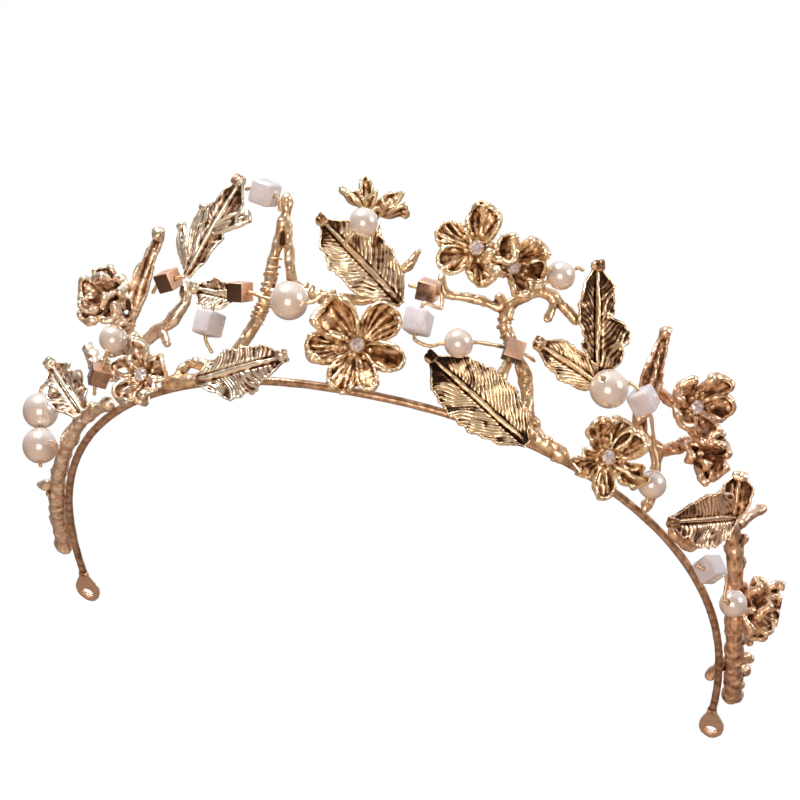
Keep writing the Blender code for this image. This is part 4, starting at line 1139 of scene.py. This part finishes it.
def pearl(bead):
    """A ball turned about its hole, with a small worn dip at each end."""
    radius = bead.size / 2
    bore = HOLE * SCALE
    first = math.asin(bore / radius)
    shape = bmesh.new()
    inner = [(bore, radius * 0.6), (bore, radius * math.cos(first) - DIP)]
    count = 40
    outline = list(inner)
    for i in range(count + 1):
        angle = first + 0.045 + (math.pi - 2 * first - 0.09) * i / count
        outline.append((radius * math.sin(angle), radius * math.cos(angle)))
    outline += [(x, -z) for x, z in reversed(inner)]
    profile = [shape.verts.new((x, 0, z)) for x, z in outline]
    edges = [shape.edges.new(pair) for pair in zip(profile, profile[1:] + profile[:1])]
    bmesh.ops.spin(
        shape, geom=profile + edges, cent=(0, 0, 0), axis=(0, 0, 1), angle=math.tau, steps=72, use_merge=True,
    )
    bmesh.ops.recalc_face_normals(shape, faces=shape.faces)
    bmesh.ops.transform(shape, matrix=bead.frame, verts=shape.verts)
    return finished("lustre_" + bead.name, shape, PEARL, [bead.name], bead.name, proud=None)


def cube(bead):
    """A cut cube with polished, slightly crowned edges and a drilled hole."""
    shape = bmesh.new()
    bmesh.ops.create_cube(shape, size=bead.size * 0.995)
    worn = bead.size * (0.15 if bead.kind == "opal" else 0.05)
    bmesh.ops.bevel(
        shape, geom=shape.edges, offset=worn, segments=3, profile=0.5, affect="EDGES", material=-1,
    )
    ends = sorted(shape.faces, key=lambda face: face.calc_center_median().z)
    for face in (ends[0], ends[-1]):
        centre = face.calc_center_median()
        bmesh.ops.inset_individual(shape, faces=[face], thickness=bead.size * 0.2)
        bmesh.ops.subdivide_edges(shape, edges=list(face.edges), cuts=3, use_grid_fill=False)
        for vert in face.verts:
            flat = Vector((vert.co.x, vert.co.y, 0))
            vert.co = flat.normalized() * HOLE * SCALE + Vector((0, 0, centre.z))
        deep = bmesh.ops.extrude_discrete_faces(shape, faces=[face])["faces"][0]
        bmesh.ops.translate(shape, vec=(0, 0, -centre.z * 0.7), verts=deep.verts)
    bmesh.ops.recalc_face_normals(shape, faces=shape.faces)
    bmesh.ops.transform(shape, matrix=bead.frame, verts=shape.verts)
    material = OPAL if bead.kind == "opal" else COPPER
    obj = finished("cut_" + bead.name, shape, material, [bead.name], bead.name, proud=None)
    obj.data.set_sharp_from_angle(angle=math.radians(25))
    if bead.kind == "metal":
        plated = obj.data.attributes.new("plated", "FLOAT", "FACE")
        for face, value in zip(obj.data.polygons, plated.data):
            # Copper on the faces turned toward that side, near black on those turned away
            value.value = min(max(face.normal.dot(COPPER_SIDE) * 1.8 + 0.1, 0), 1)
    return obj


def wire(name, run, straight):
    """The thin wire that beads are strung on, through places and straight through beads."""
    points = []
    for stop in run:
        if isinstance(stop, Bead):
            reach = stop.hole * (stop.size / 2 + straight * MM)
            points += [stop.centre - reach, stop.centre, stop.centre + reach]
        else:
            points.append(spot(*stop))
    run = eased(points, 5)
    shape = bmesh.new()
    radii = [BEAD_WIRE / 2 * SCALE * (1.3 + 0.18 * math.sin(i * 1.9)) for i in range(len(run))]
    add_rod(shape, run, radii, 10)
    return finished("drawn_" + name, shape, WIRE_GOLD, [name], proud=None)


def wrap(name, places, inside, turns, thick=0.22, start=0.0, stop=1.0):
    """A few uneven turns of thin wire wound round a branch that goes through the places."""
    path = eased([spot(*place) for place in places], 11)
    path = path[int(start * (len(path) - 1)):int(stop * (len(path) - 1)) + 1]
    frames = frames_along(path)
    steps = turns * TURN_STEPS
    points = []
    for i in range(steps + 1):
        part = i / steps
        place = (part + 0.045 * math.sin(part * 17 + turns) * math.sin(math.pi * part)) * (len(frames) - 1)
        before = min(int(place), len(frames) - 2)
        centre = frames[before].translation.lerp(frames[before + 1].translation, place - before)
        across = frames[before].to_3x3().col[0]
        around = frames[before].to_3x3().col[1]
        angle = i / TURN_STEPS * math.tau
        wobble = 1 + 0.12 * math.sin(i * 0.37)
        points.append(centre + (across * math.cos(angle) + around * math.sin(angle)) * inside * wobble * MM)
    shape = bmesh.new()
    add_rod(shape, points, [thick * MM] * len(points), 7)
    return finished("wrap_" + name, shape, WIRE_GOLD, proud=None)


def strings():
    """The wires and the beads strung on them."""
    runs = {
        "wire_left_end": [
            (-89.0, 15.4, 5.4), (-92.8, 14.8, 7.8), Bead("pearl_left_end_high", "large"),
            Bead("pearl_left_end_low", "large"), (-93.4, -4.3, 8.2),
        ],
        "wire_left": [
            (-66.6, 1.2, 5.6), Bead("metal_cube_left", "metal", 30), Bead("pearl_left", "small"),
            (-54.4, 12.8, 5.0),
        ],
        "wire_branch": [(-50.2, 19.2, 4.6), Bead("metal_cube_branch", "metal", 20), (-41.8, 20.0, 5.8)],
        "wire_opal_left": [(-34.7, 13.4, 5.4), Bead("opal_cube_left", "opal", 40), (-34.4, 3.9, 4.4)],
        "wire_stem": [
            (-33.6, 15.8, 6.0), Bead("metal_cube_stem", "metal", 15), Bead("pearl_stem", "large"),
            (-13.2, 15.6, 6.2),
        ],
        "wire_opal_top": [(-31.9, 39.3, 3.6), Bead("opal_cube_top", "opal", 25), (-24.6, 34.4, 4.0)],
        "wire_top": [(-10.4, 25.8, 8.6), Bead("pearl_top", "small"), (-5.6, 33.6, 8.8)],
        "wire_front": [
            (2.4, 21.6, 4.6), Bead("metal_cube_front", "metal", 45), (9.2, 17.2, 7.0), (6.6, 17.0, 8.0),
            Bead("opal_cube_front", "opal", 20), (7.0, 8.8, 8.0), (9.2, 8.6, 8.0),
            Bead("pearl_front", "small"), Bead("metal_cube_upright", "metal", 30), (28.0, 14.4, 3.6),
        ],
        "wire_upright": [(25.4, 28.2, 4.8), Bead("pearl_upright", "small"), (30.4, 34.6, 5.8)],
        "wire_right": [
            Bead("pearl_right", "large"), (43.9, 16.4, 7.2), Bead("opal_cube_right", "opal", 30),
            (55.4, 9.4, 5.6), Bead("pearl_low_right", "small"), (58.6, -1.8, 5.8),
        ],
        "wire_right_end": [
            (79.6, -2.2, 4.6), Bead("opal_cube_right_end", "opal", 30), (89.0, 1.6, 5.6), (91.4, -1.8, 6.2),
            Bead("pearl_right_end", "small"), (98.9, 0.4, 6.4),
        ],
    }
    for name, run in runs.items():
        wire(name, run, 0.2 if name == "wire_left_end" else 0.7)
        for stop in run:
            if isinstance(stop, Bead):
                stop.build()


def wraps():
    stem = [(-29.5, 6.6, 1.4), (-26.8, 13, 1.2), (-25.7, 18.4, 1.2), (-25.2, 27, 1.4)]
    strand = [(-20.6, 20.8, 1.0), (-15, 18.0, 1.2), (-9.7, 18.2, 1.2), (-3.5, 19.6, 0.8)]
    upright = [(27.2, 13.1, 0.8), (23.5, 17.5, 0.8), (20.8, 21.2, 0.8), (21.6, 26, 1.0)]
    wrap("stem_low", stem, 1.45, 4, start=0.28, stop=0.50)
    wrap("stem_high", stem, 1.4, 5, start=0.66, stop=0.95)
    wrap("strand", strand, 1.3, 5, start=0.1, stop=0.55)
    wrap("upright", upright, 1.45, 4, start=0.35, stop=0.75)


# The band

EYELET_LENGTH = 0.0145
EYELET_WIDTH = 0.0058
EYELET_THICKNESS = 0.0012
EYELETS_START = 0.0525


def headband():
    shape = bmesh.new()
    points = []
    for i in range(360):
        points.append(spot(BAND_LENGTH * (i / 179.5 - 1), 0, 0))
    radii = []
    for i, point in enumerate(points):
        radii.append(BAND_WIRE / 2 * (1 + 0.02 * noise.noise(point * 400)))
    add_rod(shape, points, radii, 16)
    for end in (-1, 1):
        gather(shape, eyelet(end))
    shape = poured(shape, FINE * 1.5, 3)
    roughen(shape, [(0.05, 0.6), (0.03, 1.8)])
    piece = finished("drawn_headband", shape, BAND_GOLD, ["headband"])
    brighten_behind(piece.data, EYELETS_START, 0.003, 0.7)
    return piece


def brighten_behind(mesh, start, over, amount):
    """Makes the metal count as standing prouder behind that depth, so that it comes out brighter there."""
    values = mesh.attributes["proud"].data
    for vert, value in zip(mesh.vertices, values):
        share = min(max((vert.co.y - start) / over, 0), 1)
        value.value += amount * share


def eyelet(end):
    """A flattened end of the band with an oval hole through it."""
    length, width, thickness = EYELET_LENGTH, EYELET_WIDTH, EYELET_THICKNESS
    x, y = on_hoop(BAND_LENGTH * end)
    _, along = outward((BAND_LENGTH - 0.6) * end)
    ahead = Matrix.Rotation(math.radians(-6 * end), 3, "Z") @ (along * end)
    side = Vector((-ahead.y, ahead.x, 0))
    start = Vector((x, y, 0)) - ahead * 0.0012 + CENTRING
    matrix = Matrix.Translation(start) @ Matrix((ahead, side, Vector((0, 0, 1)))).transposed().to_4x4()
    spans = [0, 0.17, 0.34, 0.5, 0.66, 0.82, 0.94, 1.0]
    halves = [0.36, 0.42, 0.72, 0.94, 1.0, 0.84, 0.5, 0.16]
    shape = bmesh.new()
    rim = bmesh.ops.create_circle(shape, segments=48, radius=1)["verts"]
    for vert in rim:
        part = (1 - math.cos(math.atan2(vert.co.y, vert.co.x))) / 2
        half = float(np.interp(1 - part, spans, halves)) * width / 2
        vert.co = Vector((length * (1 - part), math.copysign(half, vert.co.y), 0))
    hole = bmesh.ops.create_circle(shape, segments=48, radius=1)["verts"]
    for vert in hole:
        vert.co = Vector((length * (0.70 + 0.15 * vert.co.x), width / 2 * 0.46 * vert.co.y, 0))
    bmesh.ops.bridge_loops(shape, edges=list(shape.edges))
    raised = bmesh.ops.extrude_face_region(shape, geom=list(shape.faces))["geom"]
    top = [part for part in raised if isinstance(part, bmesh.types.BMVert)]
    bmesh.ops.translate(shape, vec=(0, 0, thickness), verts=top)
    bmesh.ops.recalc_face_normals(shape, faces=shape.faces)
    bmesh.ops.transform(shape, matrix=matrix, verts=shape.verts)
    return shape


# The floor, the light and the camera

FLOOR_HALF = 1.5
FLOOR_GAP = 0.0002
FLOOR_FADES = (0.16, 0.55)
AIM = Vector((0, -0.03, 0.02))
VIEW_AZIMUTH, VIEW_ELEVATION, VIEW_ROLL = math.radians(11.36), math.radians(-28.056), math.radians(16.966)
VIEW_DISTANCE, VIEW_RIGHT, VIEW_UP, VIEW_DROP = 0.7, 0.002845, 0.049508, 0.00045
LENS = 139.34


def floor():
    """A pale floor that is seen from above and not from below."""
    shape = bmesh.new()
    bmesh.ops.create_grid(shape, x_segments=1, y_segments=1, size=FLOOR_HALF)
    mesh = mesh_of("floor", shape)
    obj = placed("floor", mesh)
    obj.location = (0, 0, -FLOOR_GAP)
    finish = Finish("pale_floor", Base_Color=(0.93, 0.92, 0.91, 1), Roughness=0.6)
    below = finish.node("NewGeometry").outputs["Backfacing"]
    looking = Amount(finish, finish.node("LightPath").outputs["Is Camera Ray"])
    away = finish.node("VectorMath", {"operation": "LENGTH"}, [finish.place()]).outputs["Value"]
    fading = finish.limited(Amount(finish, away), *FLOOR_FADES)
    hidden = finish.node("Math", {"operation": "MAXIMUM"}, [below, 1 - looking]).outputs[0]
    through = finish.node("Math", {"operation": "MAXIMUM"}, [hidden, fading]).outputs[0]
    clear = finish.node("BsdfTransparent").outputs[0]
    both = finish.node("MixShader", {}, [through, finish.shader.outputs[0], clear]).outputs[0]
    finish.tree.links.new(both, finish.tree.nodes["Material Output"].inputs["Surface"])
    mesh.materials.append(finish.material)


def lamp(name, toward, distance, size, power, colour=(1, 1, 1)):
    """A square soft light at that direction from the tiara, facing it."""
    light = bpy.data.lights.new(name, "AREA")
    light.size = size
    light.energy = power
    light.color = colour
    obj = placed(name, light)
    direction = Vector(toward).normalized()
    obj.location = AIM + direction * distance
    obj.rotation_mode = "QUATERNION"
    obj.rotation_quaternion = direction.to_track_quat("Z", "Y")


def surroundings():
    """White to look at, and softly lit from above with a darker horizon for the metal to reflect."""
    world = bpy.data.worlds.new("studio")
    world.use_nodes = True
    bpy.context.scene.world = world
    tree = world.node_tree
    backdrop = tree.nodes["Background"]
    backdrop.inputs["Color"].default_value = (1, 1, 1, 1)
    backdrop.inputs["Strength"].default_value = 1.0
    around = tree.nodes.new("ShaderNodeBackground")
    place = tree.nodes.new("ShaderNodeTexCoord")
    split = tree.nodes.new("ShaderNodeSeparateXYZ")
    tree.links.new(place.outputs["Generated"], split.inputs[0])
    ramp = tree.nodes.new("ShaderNodeValToRGB")
    warm, brown, grey, white = (0.95, 0.70, 0.54), (0.30, 0.20, 0.15), (0.30, 0.27, 0.26), (0.95, 0.95, 1.0)
    fill_ramp(ramp.color_ramp, [(0.0, warm), (0.4, brown), (0.6, grey), (0.85, white)])
    height = tree.nodes.new("ShaderNodeMapRange")
    height.inputs["From Min"].default_value = -1
    tree.links.new(split.outputs["Z"], height.inputs["Value"])
    tree.links.new(height.outputs[0], ramp.inputs[0])
    tree.links.new(ramp.outputs[0], around.inputs["Color"])
    around.inputs["Strength"].default_value = 0.72
    rays = tree.nodes.new("ShaderNodeLightPath")
    either = tree.nodes.new("ShaderNodeMixShader")
    tree.links.new(rays.outputs["Is Camera Ray"], either.inputs[0])
    tree.links.new(around.outputs[0], either.inputs[1])
    tree.links.new(backdrop.outputs[0], either.inputs[2])
    tree.links.new(either.outputs[0], tree.nodes["World Output"].inputs["Surface"])


def lights():
    lamp("key", (-0.55, -0.75, 0.75), 0.6, 0.26, 3.0, (1.0, 0.98, 0.95))
    lamp("side", (0.9, -0.5, 0.35), 0.6, 0.22, 1.1, (1.0, 0.96, 0.92))
    lamp("back", (0.1, 0.8, 0.7), 0.6, 0.3, 0.5)
    lamp("under", (0.05, -0.8, -0.65), 0.65, 0.3, 1.3, (1.0, 0.90, 0.82))


def camera():
    """Looking up at the tiara from below its front, turned a little about the line of sight."""
    level = Vector((math.cos(VIEW_AZIMUTH), math.sin(VIEW_AZIMUTH), 0))
    back = Vector((level.y, -level.x, 0)) * math.cos(VIEW_ELEVATION)
    back.z = math.sin(VIEW_ELEVATION)
    upright = back.cross(level)
    right = level * math.cos(VIEW_ROLL) + upright * math.sin(VIEW_ROLL)
    up = upright * math.cos(VIEW_ROLL) - level * math.sin(VIEW_ROLL)
    seen = bpy.data.cameras.new("camera")
    seen.sensor_width = 36
    seen.lens = LENS
    seen.clip_start = 0.01
    obj = placed("camera", seen)
    matrix = Matrix((right, up, back)).transposed().to_4x4()
    target = CENTRING - Vector((0, 0, VIEW_DROP))
    matrix.translation = target + right * VIEW_RIGHT + up * VIEW_UP + back * VIEW_DISTANCE
    obj.matrix_world = matrix
    bpy.context.scene.camera = obj


headband()
branches()
leaves()
flowers()
stones()
strings()
wraps()
floor()
surroundings()
lights()
camera()
bpy.context.scene.view_settings.view_transform = "Standard"
